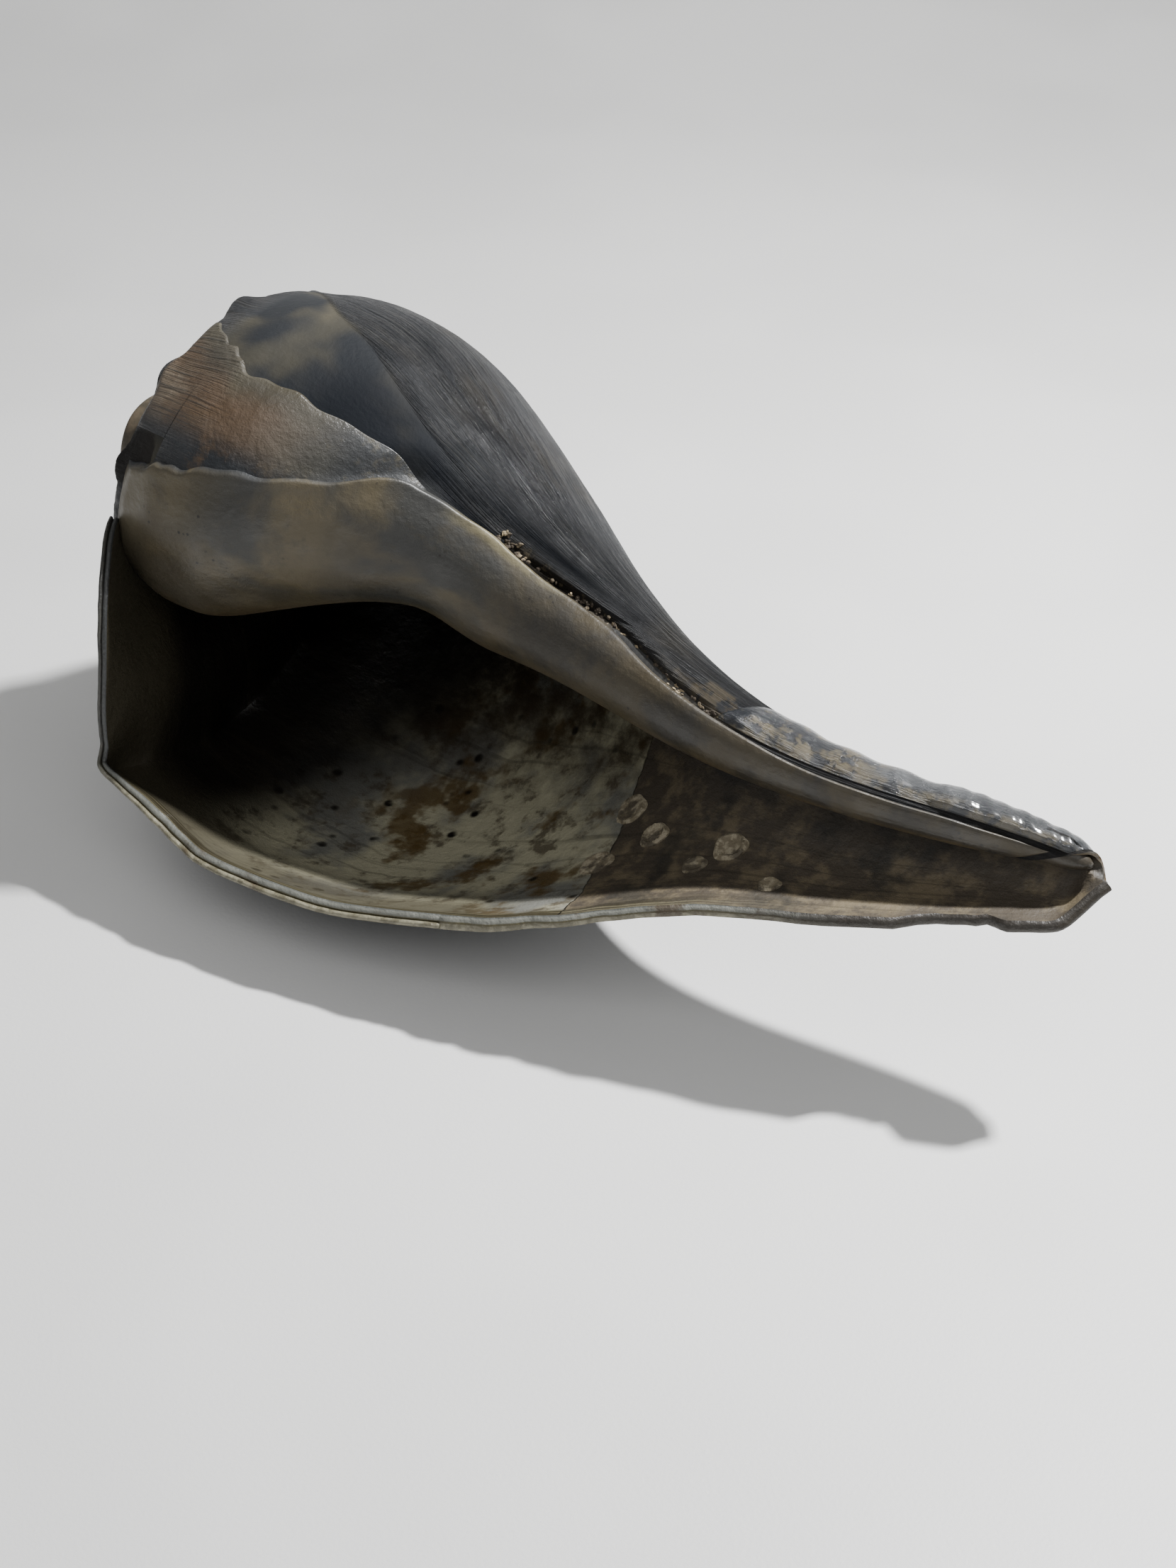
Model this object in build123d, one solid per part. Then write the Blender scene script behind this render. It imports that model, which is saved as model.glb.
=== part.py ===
from build123d import *
import os
from functools import lru_cache
from math import cos, exp, log, radians, sin

import numpy as np

# A large left-handed whelk shell, blown as a trumpet through a hole ground in its apex.
# Everything is worked out in the shell's own frame: x runs along the coiling axis from the
# apex to the tip of the siphonal canal, y and z lie across it, all in millimetres. The growth
# angle is 0 at the finished lip and negative towards the older whorls, and s runs across the
# wall from the suture (0) over the shoulder keel (0.12) to the end of the canal (1).

# The finished lip, station by station from the suture to the canal tip.
LIP_STATIONS = [0, 0.06, 0.12, 0.20, 0.30, 0.40, 0.52, 0.64, 0.76, 0.88, 1.0]
LIP_AXIAL = [7, 21, 24.5, 44, 66, 96, 135, 157, 186, 238, 266]
LIP_RADIUS = [34, 60, 82.5, 89.5, 94, 91, 76.5, 62, 42.5, 23.5, 4]
LIP_ANGLE = -140.0  # where the lip stands, round the axis from +y
LIP_SWING = 43.0  # how far the lip runs on forward at the suture, degrees

# How the shell grows.
WHORL_EXPANSION = 2.6  # growth in size for each full turn
CANAL_AXIAL_POWER = 0.05  # the canal hardly slides along the axis as it grows
CANAL_RADIAL_POWER = 4.5  # and closes fast on to the pillar behind the lip
OLDEST_GROWTH = -720.0  # whorls older than this are ground away
SPIRE_RISE = 10.0  # how far the older whorls stand out beyond the last one
SPIRE_RISE_STARTS = -230.0
SPIRE_RISE_SPAN = 200.0

# The pillar (columella) that the whorls wind round.
PILLAR_STATIONS = [0, 45, 80, 105, 150, 195, 230, 262]
PILLAR_RADIUS = [3, 4.5, 8.5, 12.5, 11.5, 8, 7.5, 4]
PILLAR_SPLIT = 120.0  # beyond this the pillar is a core under a skin
SKIN_THICKNESS = 2.2
PILLAR_START = -3.0
PILLAR_END = 262.0
BEND_START = 110.0  # the neck bows sideways between here and the tip
BEND_Y = 8.9
BEND_Z = 1.7

# Walls, layers and clearances.
WALL = 3.6  # wall of the last whorl
SHOULDER_WALL = 2.4  # thinner between suture and shoulder
CANAL_WALL = 2.8
OLDEST_WALL = 1.2
WALL_EDGE = 8.0  # the wall ends where it would come this near the axis
CALLUS = 1.2  # glaze laid over the earlier whorl
CALLUS_EDGE = -248.0  # growth angle of the callus's far edge
LINING = 0.6  # porcelain layer on the inside
CLEARANCE = 0.2  # between pieces that were laid down one on another
SUTURE_GAP = 0.6  # at the suture, which dirt and glaze fill
GROWTH_CUT = 0.12  # between growth stages, degrees
NECK_STATION = 0.5  # where the body of the whorl becomes the neck
LIP_ROOT = -12.0  # growth angle where the finished lip begins
SKIN_SETBACK = 1.0  # the pillar's core shows this much at the tip
FASCIOLE_LUMP = 1.6

# Barnacle bases in the canal: growth angle, station and radius of each.
BARNACLES = [(-42, 0.685, 4.0), (-38, 0.765, 4.4), (-19.5, 0.79, 2.8)]
BARNACLE_LIFT = 0.35

# Crust patches: youngest and oldest growth angle, and the stations at the ends.
CRUST_PATCHES = [(-232, -246, (0.555, 0.60)), (-234, -245, (0.61, 0.65))]
CRUST = 0.9

# Shoulder knobs.
KNOB_SPACING = 36.0
KNOB_HEIGHT = 6.5
KNOB_FIRST = -6.0

# Mouth ring ground and cemented at the apex.
GRIND_PLANE = -7.4
RING_OUTER_RADIUS = 12.5
BORE_RADIUS = 8.0
RING_LENGTH = 5.0

# Resting pose: the shell lies on the belly of its last whorl, apex end a little higher.
PITCH = 6.0


def ease(u):
    """A smooth step from 0 to 1."""
    u = min(max(u, 0.0), 1.0)
    return u * u * (3 - 2 * u)


def monotone_curve(stations, values):
    """A smooth curve through the values that never overshoots between stations."""
    gaps = np.diff(stations)
    slopes = np.diff(values) / gaps
    tangents = [slopes[0]]
    for before, after, gap_before, gap_after in zip(slopes, slopes[1:], gaps, gaps[1:]):
        if before * after <= 0:
            tangents.append(0.0)
            continue
        weight_1 = 2 * gap_after + gap_before
        weight_2 = gap_after + 2 * gap_before
        tangents.append((weight_1 + weight_2) / (weight_1 / before + weight_2 / after))
    tangents.append(slopes[-1])

    def value(at):
        at = min(max(at, stations[0]), stations[-1])
        i = min(int(np.searchsorted(stations, at, side="right")) - 1, len(gaps) - 1)
        t = (at - stations[i]) / gaps[i]
        start = (1 + 2 * t) * (1 - t) ** 2 * values[i]
        end = t * t * (3 - 2 * t) * values[i + 1]
        leave = t * (1 - t) ** 2 * gaps[i] * tangents[i]
        arrive = t * t * (t - 1) * gaps[i] * tangents[i + 1]
        return start + end + leave + arrive

    return value


lip_axial = monotone_curve(LIP_STATIONS, LIP_AXIAL)
lip_radius = monotone_curve(LIP_STATIONS, LIP_RADIUS)
pillar_radius = monotone_curve(PILLAR_STATIONS, PILLAR_RADIUS)


def size_at(growth):
    return WHORL_EXPANSION ** (growth / 360)


def radial_power(s):
    return 1 + (CANAL_RADIAL_POWER - 1) * ease((s - 0.35) / 0.65)


def spire_rise(growth):
    return SPIRE_RISE * ease((SPIRE_RISE_STARTS - growth) / SPIRE_RISE_SPAN)


def knob(growth, s):
    """Height of the shoulder knobs above the plain wall."""
    turns = (growth - KNOB_FIRST) / KNOB_SPACING
    wave = max(cos(2 * np.pi * turns), 0.0) ** 1.5
    across = exp(-(((s - 0.115) / 0.028) ** 2))
    return KNOB_HEIGHT * size_at(growth) * wave * across


def plain_profile(growth, s):
    """Axial place and radius of the wall's outer face, before knobs and suture."""
    size = size_at(growth)
    axial_power = 1 - (1 - CANAL_AXIAL_POWER) * ease((s - 0.2) / 0.8)
    x = lip_axial(s) * size**axial_power - spire_rise(growth)
    r = lip_radius(s) * size ** radial_power(s)
    return x, (r**4 + pillar_radius(x) ** 4) ** 0.25


def wall_thickness(growth, s):
    at_lip = SHOULDER_WALL + (WALL - SHOULDER_WALL) * ease((s - 0.1) / 0.12)
    at_lip -= (WALL - CANAL_WALL) * ease((s - 0.5) / 0.2)
    return max(at_lip * size_at(growth) ** 0.5, OLDEST_WALL)


@lru_cache(maxsize=None)
def suture_radius(growth):
    """Where the inner end of the ramp meets the side of the whorl before it."""
    before = [outer_profile(growth - 360, 0.12 + 0.01 * i) for i in range(36)]
    thickness = wall_thickness(growth, 0)
    x = plain_profile(growth, 0)[0] + 0.8 * thickness
    radius = float(np.interp(x, [p[0] for p in before], [p[1] for p in before]))
    return max(radius + 0.5 * thickness + SUTURE_GAP, BORE_RADIUS + 0.5 * thickness + SUTURE_GAP)


def outer_profile(growth, s):
    x, r = plain_profile(growth, s)
    if s < 0.12:
        r += (suture_radius(growth) - plain_profile(growth, 0)[1]) * (1 - s / 0.12) ** 2
    rise = knob(growth, s)
    return max(x - 0.5 * rise, GRIND_PLANE), r + 0.85 * rise


def layer_profile(growth, s, depth):
    """The outer face moved inwards by depth, square to the profile."""
    step = 0.004
    x0, r0 = outer_profile(growth, max(s - step, 0))
    x1, r1 = outer_profile(growth, min(s + step, 1))
    x, r = outer_profile(growth, s)
    length = ((x1 - x0) ** 2 + (r1 - r0) ** 2) ** 0.5
    return x + depth * (r1 - r0) / length, r - depth * (x1 - x0) / length


def axis_bend(x):
    bow = sin(np.pi * min(max((x - BEND_START) / (LIP_AXIAL[-1] - BEND_START), 0), 1)) ** 2
    return -BEND_Y * bow, -BEND_Z * bow


def point(growth, x, r):
    """A point of the shell, from its growth angle, axial place and radius."""
    angle = radians(LIP_ANGLE - growth)
    y, z = axis_bend(x)
    return Vector(x, r * cos(angle) + y, r * sin(angle) + z)


def wall_end(growth):
    """The station where the wall runs out on to the pillar."""
    if lip_radius(1) * size_at(growth) ** radial_power(1) >= WALL_EDGE:
        return 1.0
    low, high = 0.3, 1.0
    for _ in range(40):
        middle = (low + high) / 2
        if lip_radius(middle) * size_at(growth) ** radial_power(middle) > WALL_EDGE:
            low = middle
        else:
            high = middle
    return low


def smooth_face(rows):
    """One smooth face through rows of points."""
    curves = [Wire([Edge.make_spline(row)]) for row in rows]
    return Shell.make_loft(curves).faces()[0]


def patch(rows_outer, rows_inner):
    """A closed solid between two faces, with its four rims ruled straight across."""
    outer = smooth_face(rows_outer)
    inner = smooth_face(rows_inner)
    rims = [
        Face.make_surface_from_curves(edge, partner)
        for edge, partner in zip(outer.edges(), inner.edges())
    ]
    return Solid(Shell([outer, inner, *rims]))


def layer(growths, stations, outer_depth, inner_depth, step=6.0, across=14):
    """A piece of one layer of the shell.

    growths gives the two growth angles at a fraction across, stations the two ends across at a
    growth angle, and the depths are measured inwards from the wall's outer face.
    """
    youngest = max(growths(0.0)[0], growths(1.0)[0])
    oldest = min(growths(0.0)[1], growths(1.0)[1])
    count = max(int((youngest - oldest) / step), 3)
    outer, inner = [], []
    for i in range(count + 1):
        row_outer, row_inner = [], []
        for j in range(across + 1):
            fraction = j / across
            first, last = growths(fraction)
            growth = first + (last - first) * i / count
            s_low, s_high = stations(growth)
            s = s_low + (s_high - s_low) * fraction
            x, r = layer_profile(growth, s, outer_depth(growth, s))
            row_outer.append(point(growth, x, r))
            x, r = layer_profile(growth, s, inner_depth(growth, s))
            row_inner.append(point(growth, x, max(r, pillar_radius(x) + CLEARANCE)))
        outer.append(row_outer)
        inner.append(row_inner)
    return patch(outer, inner)


def between(young, old):
    """The same two growth angles all the way across, with the growth cut taken off."""
    return lambda fraction: (young - GROWTH_CUT, old)


def outside(growth, s):
    return 0.0


def wall(young, old, s_low, s_high, **grid):
    return layer(between(young, old), lambda growth: (s_low(growth), s_high(growth)),
                 outside, wall_thickness, **grid)


def suture(growth):
    return 0.0


def neck(growth):
    return NECK_STATION


def below_neck(growth):
    return NECK_STATION + 0.0006



def lip_growths(s_low, s_high):
    """From the lip's edge, which swings forward near the suture, back to the lip's root."""
    def growths(fraction):
        s = s_low + (s_high - s_low) * fraction
        return LIP_SWING * (1 - ease(s / 0.12)), LIP_ROOT
    return growths


def station_at(growth, x):
    """The station whose wall stands at this axial place."""
    low, high = 0.3, 1.0
    for _ in range(40):
        middle = (low + high) / 2
        if plain_profile(growth, middle)[0] < x:
            low = middle
        else:
            high = middle
    return low


def skin(young, old, x_low, rise, step=8.0, along=24):
    """A piece of the skin over the pillar's core, from x_low(growth) to the canal tip."""
    count = int((young - old) / step)
    outer, inner = [], []
    for i in range(count + 1):
        growth = young - GROWTH_CUT + (old - young + GROWTH_CUT) * i / count
        start = x_low(growth)
        row_outer, row_inner = [], []
        for j in range(along + 1):
            x = start + (PILLAR_END - SKIN_SETBACK - start) * j / along
            r = plain_profile(growth, station_at(growth, x))[1]
            row_outer.append(point(growth, x, r + rise(x, growth)))
            row_inner.append(point(growth, x, pillar_radius(x) - SKIN_THICKNESS))
        outer.append(row_outer)
        inner.append(row_inner)
    return patch(outer, inner)


def pillar_piece(x_from, x_to, inset):
    """A length of the solid pillar, lofted through round sections along its bowed axis."""
    count = max(int((x_to - x_from) / 6), 2)
    sections = []
    for i in range(count + 1):
        x = x_from + (x_to - x_from) * i / count
        y, z = axis_bend(x)
        section = Plane(origin=(x, y, z), x_dir=(0, 1, 0), z_dir=(1, 0, 0))
        sections.append(Wire.make_circle(pillar_radius(x) - inset, section))
    return Solid.make_loft(sections)


def seat(growth, s, depth):
    """A plane on the inside of the wall: its origin there and z into the hollow."""
    def at(g, t):
        x, r = layer_profile(g, t, wall_thickness(g, t) + depth)
        return point(g, x, r)
    origin = at(growth, s)
    along = at(growth, s + 0.01) - at(growth, s - 0.01)
    round_way = at(growth + 1, s) - at(growth - 1, s)
    inward = along.cross(round_way).normalized()
    x, r = layer_profile(growth, s, 20.0)
    if inward.dot(point(growth, x, r) - origin) < 0:
        inward = -inward
    return Plane(origin=origin, x_dir=along.normalized(), z_dir=inward)


def barnacle_base(growth, s, radius):
    """The ring of a barnacle's base plate, left cemented to the wall."""
    height = 0.22 * radius
    wall_outline = Polyline(
        (0.45 * radius, 0), (radius, 0), (0.86 * radius, height), (0.5 * radius, 0.7 * height),
        close=True,
    )
    ring = revolve(Plane.XZ * make_face(wall_outline), Axis.Z)
    return seat(growth, s, BARNACLE_LIFT) * ring


parts = {}

# The whorls, in the stages in which they grew, each one wall from suture to pillar.
parts["spire_early_whorl"] = wall(-540, OLDEST_GROWTH, suture, wall_end)
parts["spire_inner_whorl"] = wall(-360, -540, suture, wall_end)
parts["body_wall_front"] = wall(-250, -360, suture, wall_end)
parts["body_wall_crown"] = wall(-140, -250, suture, neck)
parts["body_wall_back"] = wall(-60, -140, suture, neck)
parts["body_wall_belly"] = wall(LIP_ROOT, -60, suture, neck)
parts["canal_wall_top"] = wall(-140, -250, below_neck, wall_end)
parts["canal_wall_back"] = wall(-60, -140, below_neck, wall_end)
parts["canal_floor"] = wall(LIP_ROOT, -60, below_neck, wall_end)

# The finished lip, in the two layers that show along its edge.
parts["outer_lip_chalk"] = layer(
    lip_growths(0.0, NECK_STATION), lambda growth: (0.0, NECK_STATION),
    outside, lambda g, s: 0.45 * wall_thickness(g, s), across=28,
)
parts["outer_lip_porcelain"] = layer(
    lip_growths(0.0, NECK_STATION), lambda growth: (0.0, NECK_STATION),
    lambda g, s: 0.45 * wall_thickness(g, s) + CLEARANCE, wall_thickness, across=28,
)
parts["canal_lip"] = layer(
    lip_growths(NECK_STATION, 1.0), lambda growth: (below_neck(growth), 1.0),
    outside, wall_thickness,
)

# The pillar.
parts["columella_upper"] = pillar_piece(PILLAR_START, PILLAR_SPLIT, CLEARANCE)
parts["columella_core"] = pillar_piece(
    PILLAR_SPLIT + CLEARANCE, PILLAR_END, SKIN_THICKNESS + 2 * CLEARANCE)
parts["columellar_lip"] = skin(-330, -460, lambda growth: PILLAR_SPLIT + CLEARANCE,
                               lambda x, growth: 0.0)


def fasciole_start(growth):
    wall_x = plain_profile(growth, wall_end(growth))[0]
    return max(wall_x + 0.3, PILLAR_SPLIT + CLEARANCE)


def fasciole_rise(x, growth):
    """Low rounded lumps where the canal's older ends were glazed over."""
    along = ease((x - 175) / 40) * ease((PILLAR_END - x) / 12)
    round_way = ease((growth + 330) / 30) * ease((-165 - growth) / 30)
    return FASCIOLE_LUMP * along * round_way * (0.6 + 0.4 * sin(x / 2.6))


parts["siphonal_fasciole"] = skin(-100, -330, fasciole_start, fasciole_rise)

# Glaze laid over the whorl before by the animal's mantle, and porcelain inside the lip.
parts["parietal_callus"] = layer(
    between(CALLUS_EDGE, -395), lambda growth: (0.26, min(0.6, wall_end(growth) - 0.02)),
    lambda g, s: -CALLUS - CLEARANCE, lambda g, s: -CLEARANCE,
)
parts["earlier_callus"] = layer(
    between(-224, CALLUS_EDGE), lambda growth: (0.22, 0.54),
    lambda g, s: -0.6 * CALLUS - CLEARANCE, lambda g, s: -CLEARANCE,
)
parts["porcelain_lining"] = layer(
    between(-14, -95), lambda growth: (0.2, 0.64),
    lambda g, s: wall_thickness(g, s) + CLEARANCE,
    lambda g, s: wall_thickness(g, s) + LINING,
)

# Rough crust in the groove along the edge of the glaze.
parts["groove_crust"] = Compound([
    layer(between(young, old), lambda growth, ends=ends: ends, lambda g, s: -CRUST - CLEARANCE,
          lambda g, s: -CLEARANCE, step=3.0, across=8)
    for young, old, ends in CRUST_PATCHES])

# Barnacle bases on the canal floor.
parts["barnacle_bases"] = Compound(
    [barnacle_base(growth, s, radius) for growth, s, radius in BARNACLES])

# The mouth ring at the ground apex.
ring_plane = Plane(origin=(GRIND_PLANE - CLEARANCE, 0, 0), z_dir=(-1, 0, 0))
ring = Solid.make_cylinder(RING_OUTER_RADIUS, RING_LENGTH, ring_plane)
parts["apex_mouth_ring"] = ring - Solid.make_cylinder(BORE_RADIUS, RING_LENGTH, ring_plane)

# Laid in its resting pose, with the middle of the bottom of its box at the origin.
posed = {name: Rot(0, PITCH, 0) * shape for name, shape in parts.items()}
box = Compound(list(posed.values())).bounding_box()
rest = Vector(-box.center().X, -box.center().Y, -box.min.Z)
os.makedirs("parts", exist_ok=True)
for name, shape in posed.items():
    export_step(Pos(rest) * shape, f"parts/{name}.step")
print("size", box.size, "rest", rest)
print("volume", sum(shape.volume for shape in parts.values()))
print("not valid", [name for name, shape in parts.items() if not shape.is_valid])
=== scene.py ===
# %% [markdown]
# # A left-handed whelk shell, blown as a trumpet
#
# A whelk grows by adding to the lip of its shell. Each new strip is the old lip, a little larger
# and turned a little further round the axis, so one lip section and one growth rule give the
# whole coiled wall. This lesson grows that wall with Geometry Nodes, gives it thickness, and then
# weathers, glazes and stains it.

# %% Load the frame
import math

import bmesh
import bpy
import numpy as np
from mathutils import Matrix, Vector


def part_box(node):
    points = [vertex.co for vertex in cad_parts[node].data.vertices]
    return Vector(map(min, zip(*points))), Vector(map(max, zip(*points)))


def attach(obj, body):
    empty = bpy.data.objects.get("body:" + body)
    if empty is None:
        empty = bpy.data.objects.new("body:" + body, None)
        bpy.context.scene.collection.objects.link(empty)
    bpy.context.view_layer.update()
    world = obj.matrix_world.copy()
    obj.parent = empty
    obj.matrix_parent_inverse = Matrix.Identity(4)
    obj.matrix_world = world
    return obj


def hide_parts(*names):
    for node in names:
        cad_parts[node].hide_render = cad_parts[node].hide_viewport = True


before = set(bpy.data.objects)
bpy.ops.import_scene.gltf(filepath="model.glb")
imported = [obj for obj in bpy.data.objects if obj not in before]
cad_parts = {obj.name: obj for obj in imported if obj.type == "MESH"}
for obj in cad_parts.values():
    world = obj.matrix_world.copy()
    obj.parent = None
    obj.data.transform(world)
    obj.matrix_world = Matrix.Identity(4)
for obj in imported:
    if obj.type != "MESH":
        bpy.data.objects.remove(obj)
bpy.context.view_layer.update()
print("nodes", sorted(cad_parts))

# %% [markdown]
# ## The sizes the shell grows from
#
# The lip is given station by station: 0 at the suture, 0.12 at the shoulder keel, 1 at the end of
# the canal. The sizes are those of the frame, in millimetres, and are turned to metres only when
# a mesh is made. The growth angle is 0 at the finished lip and negative towards the apex.

# %% Sizes
MM = 0.001
STATIONS = [0, 0.06, 0.12, 0.20, 0.30, 0.40, 0.52, 0.64, 0.76, 0.88, 0.94, 0.97, 1.0]
LIP_AXIAL = [7, 21, 24.5, 44, 66, 96, 135, 157, 186, 238, 254, 262, 268]
LIP_RADIUS = [34, 60, 82.5, 89.5, 94, 91, 76.5, 62, 42.5, 26, 20, 16.5, 3]
LIP_ANGLE = -140.0  # where the lip stands, round the axis
LIP_SWING = 43.0  # how far the lip runs on forward at the suture, degrees
SHOULDER = 0.12  # station of the shoulder keel
NECK = 0.5  # station where the body of the whorl becomes the neck

# How the shell grows.
EXPANSION = 2.6  # growth in size for each full turn
AXIAL_POWER = 0.05  # the canal hardly slides along the axis
RADIAL_POWER = 4.5  # and closes fast on to the pillar behind the lip
SPIRE_RISE = 10.0  # how far the older whorls stand out beyond the last one
SPIRE_RISE_STARTS = -230.0
SPIRE_RISE_SPAN = 200.0
LAST_WHORL_END = -360.0
SPIRE_SPLIT = -540.0
OLDEST = -720.0

# The shoulder knobs.
KNOB_SPACING = 36.0
KNOB_FIRST = -6.0
KNOB_HEIGHT = 4.5
KNOB_STATION = 0.115
KNOB_WIDTH = 0.028
KNOB_OUTWARD = 0.85  # a knob leans outwards
KNOB_APEXWARD = 0.5  # and a little back towards the apex

# The walls.
SHOULDER_WALL = 2.4  # thinner between suture and shoulder
BODY_THICKER = 1.2
CANAL_THINNER = 0.8
OLDEST_WALL = 1.2
WALL_EDGE = 8.0  # the wall ends where it would come this near the axis
SUTURE_GAP = 0.15

# The pillar, and the sideways bow of the neck.
PILLAR_STATIONS = [0, 45, 80, 105, 150, 195, 230, 262]
PILLAR_RADIUS = [3, 4.5, 8.5, 12.5, 11.0, 7.2, 5.6, 3.0]
BEND_START = 110.0
BEND_END = 266.0
BEND = (8.9, 1.7)

# The ground apex, its ring and the resting pose.
PITCH = 6.0
GRIND_PLANE = -7.4
RING_RADIUS = 12.5
BORE_RADIUS = 8.0
RING_LENGTH = 5.0
RING_GAP = 0.2
RING_MIDDLE = GRIND_PLANE - RING_GAP - RING_LENGTH / 2

# %% [markdown]
# ## Where the shell lies
#
# The mouth ring is a turned ring on the coiling axis, so the middle of its box fixes where the
# whole shell frame stands. The axis is pitched a few degrees, apex end up, because the shell
# lies on the belly of its last whorl.

# %% Place of the shell frame
low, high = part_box("apex_mouth_ring")
ring_centre = (Vector(low) + Vector(high)) / 2
TILT = Matrix.Rotation(math.radians(PITCH), 3, "Y")
REST = ring_centre - TILT @ Vector((RING_MIDDLE * MM, 0, 0))
print("shell frame stands at", [round(v, 4) for v in REST])

# %% [markdown]
# ## Curves through the stations
#
# A monotone cubic passes through every station and never overshoots, so a given section stays
# the section that was given. It is a few lines of numpy and works on whole arrays.

# %% Curve helpers
def ease(u):
    u = np.clip(u, 0.0, 1.0)
    return u * u * (3 - 2 * u)


def band(value, centre, width):
    """A soft bump of height 1 round a centre."""
    return np.exp(-(((value - centre) / width) ** 2))


def monotone_curve(stations, values):
    stations, values = np.array(stations, float), np.array(values, float)
    gaps = np.diff(stations)
    slopes = np.diff(values) / gaps
    tangents = np.zeros_like(values)
    tangents[0], tangents[-1] = slopes[0], slopes[-1]
    w1 = 2 * gaps[1:] + gaps[:-1]
    w2 = gaps[1:] + 2 * gaps[:-1]
    same_way = slopes[:-1] * slopes[1:] > 0
    safe_before = np.where(same_way, slopes[:-1], 1.0)
    safe_after = np.where(same_way, slopes[1:], 1.0)
    middle = (w1 + w2) / (w1 / safe_before + w2 / safe_after)
    tangents[1:-1] = np.where(same_way, middle, 0.0)

    def value(at):
        at = np.clip(at, stations[0], stations[-1])
        i = np.clip(np.searchsorted(stations, at, side="right") - 1, 0, len(gaps) - 1)
        t = (at - stations[i]) / gaps[i]
        start = (1 + 2 * t) * (1 - t) ** 2 * values[i]
        end = t * t * (3 - 2 * t) * values[i + 1]
        leave = t * (1 - t) ** 2 * gaps[i] * tangents[i]
        arrive = t * t * (t - 1) * gaps[i] * tangents[i + 1]
        return start + end + leave + arrive

    return value


lip_axial = monotone_curve(STATIONS, LIP_AXIAL)
lip_radius = monotone_curve(STATIONS, LIP_RADIUS)
pillar_radius = monotone_curve(PILLAR_STATIONS, PILLAR_RADIUS)


# The lines of growth where each layer of glaze ends, from the suture to the canal's tip.
callus_border = monotone_curve(
    [0.155, 0.19, 0.37, 0.45, 0.50, 0.58, 0.64, 0.70, 0.77, 0.86, 1.0],
    [-291, -289, -279, -267, -247, -242, -245.5, -249, -270, -285, -290])
older_border = monotone_curve([0.15, 0.25, 0.34, 0.42, 0.49, 0.55],
                              [-236, -246, -251, -248, -246, -247])
oldest_border = monotone_curve([0.10, 0.17, 0.32, 0.39, 0.48, 0.60],
                               [-190, -198, -216, -221, -228, -236])


def size_at(growth):
    return EXPANSION ** (growth / 360.0)


def axial_power(s):
    return 1 - (1 - AXIAL_POWER) * ease((s - 0.2) / 0.8)


def radial_power(s):
    return 1 + (RADIAL_POWER - 1) * ease((s - 0.35) / 0.65)


def spire_rise(growth):
    return SPIRE_RISE * ease((SPIRE_RISE_STARTS - growth) / SPIRE_RISE_SPAN)


def wall_axial(growth, s):
    return lip_axial(s) * size_at(growth) ** axial_power(s) - spire_rise(growth)


def wall_radius(growth, s):
    radius = lip_radius(s) * size_at(growth) ** radial_power(s)
    return (radius**4 + pillar_radius(wall_axial(growth, s)) ** 4) ** 0.25


def knob_height(growth, s):
    turn = 2 * np.pi * (growth - KNOB_FIRST) / KNOB_SPACING
    wave = np.maximum(np.cos(turn), 0.0) ** 1.5
    return KNOB_HEIGHT * size_at(growth) * wave * band(s, KNOB_STATION, KNOB_WIDTH)


def wall_thickness(growth, s):
    at_lip = SHOULDER_WALL + BODY_THICKER * ease((s - 0.1) / 0.12)
    at_lip = at_lip - CANAL_THINNER * ease((s - NECK) / 0.2)
    return np.maximum(at_lip * size_at(growth) ** 0.5, OLDEST_WALL)


def suture_push(growth):
    """How far the inner end of the ramp moves out to meet the whorl before it."""
    push = np.zeros_like(growth)
    steps = SHOULDER + 0.01 * np.arange(36)
    for i, angle in enumerate(growth):
        before = angle - 360
        knob = knob_height(before, steps)
        x_before = wall_axial(before, steps) - KNOB_APEXWARD * knob
        r_before = wall_radius(before, steps) + KNOB_OUTWARD * knob
        thickness = wall_thickness(angle, 0.0)
        radius = np.interp(wall_axial(angle, 0.0) + 0.8 * thickness, x_before, r_before)
        floor = max(radius, BORE_RADIUS) + 0.5 * thickness + SUTURE_GAP
        push[i] = floor - wall_radius(angle, 0.0)
    return push


def wall_end(growth):
    """The station where the wall of an inner whorl runs out on to the pillar."""
    s = np.linspace(0.3, 1.0, 700)
    radius = lip_radius(s) * size_at(growth) ** radial_power(s)
    inside = np.where(radius > WALL_EDGE)[0]
    return float(s[inside[-1]]) if len(inside) else 0.3


def spaced(fine, density, count):
    """So many places along a fine scale, closest together where the density is high."""
    total = np.concatenate([[0], np.cumsum((density[1:] + density[:-1]) / 2)])
    return np.interp(np.linspace(0, total[-1], count), total, fine)

# %% [markdown]
# ## A small kit for node trees
#
# A Geometry Nodes tree is a formula drawn as boxes. These helpers add a box, wire it up and give
# back its output, so a tree reads like the formula it stands for.

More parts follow.
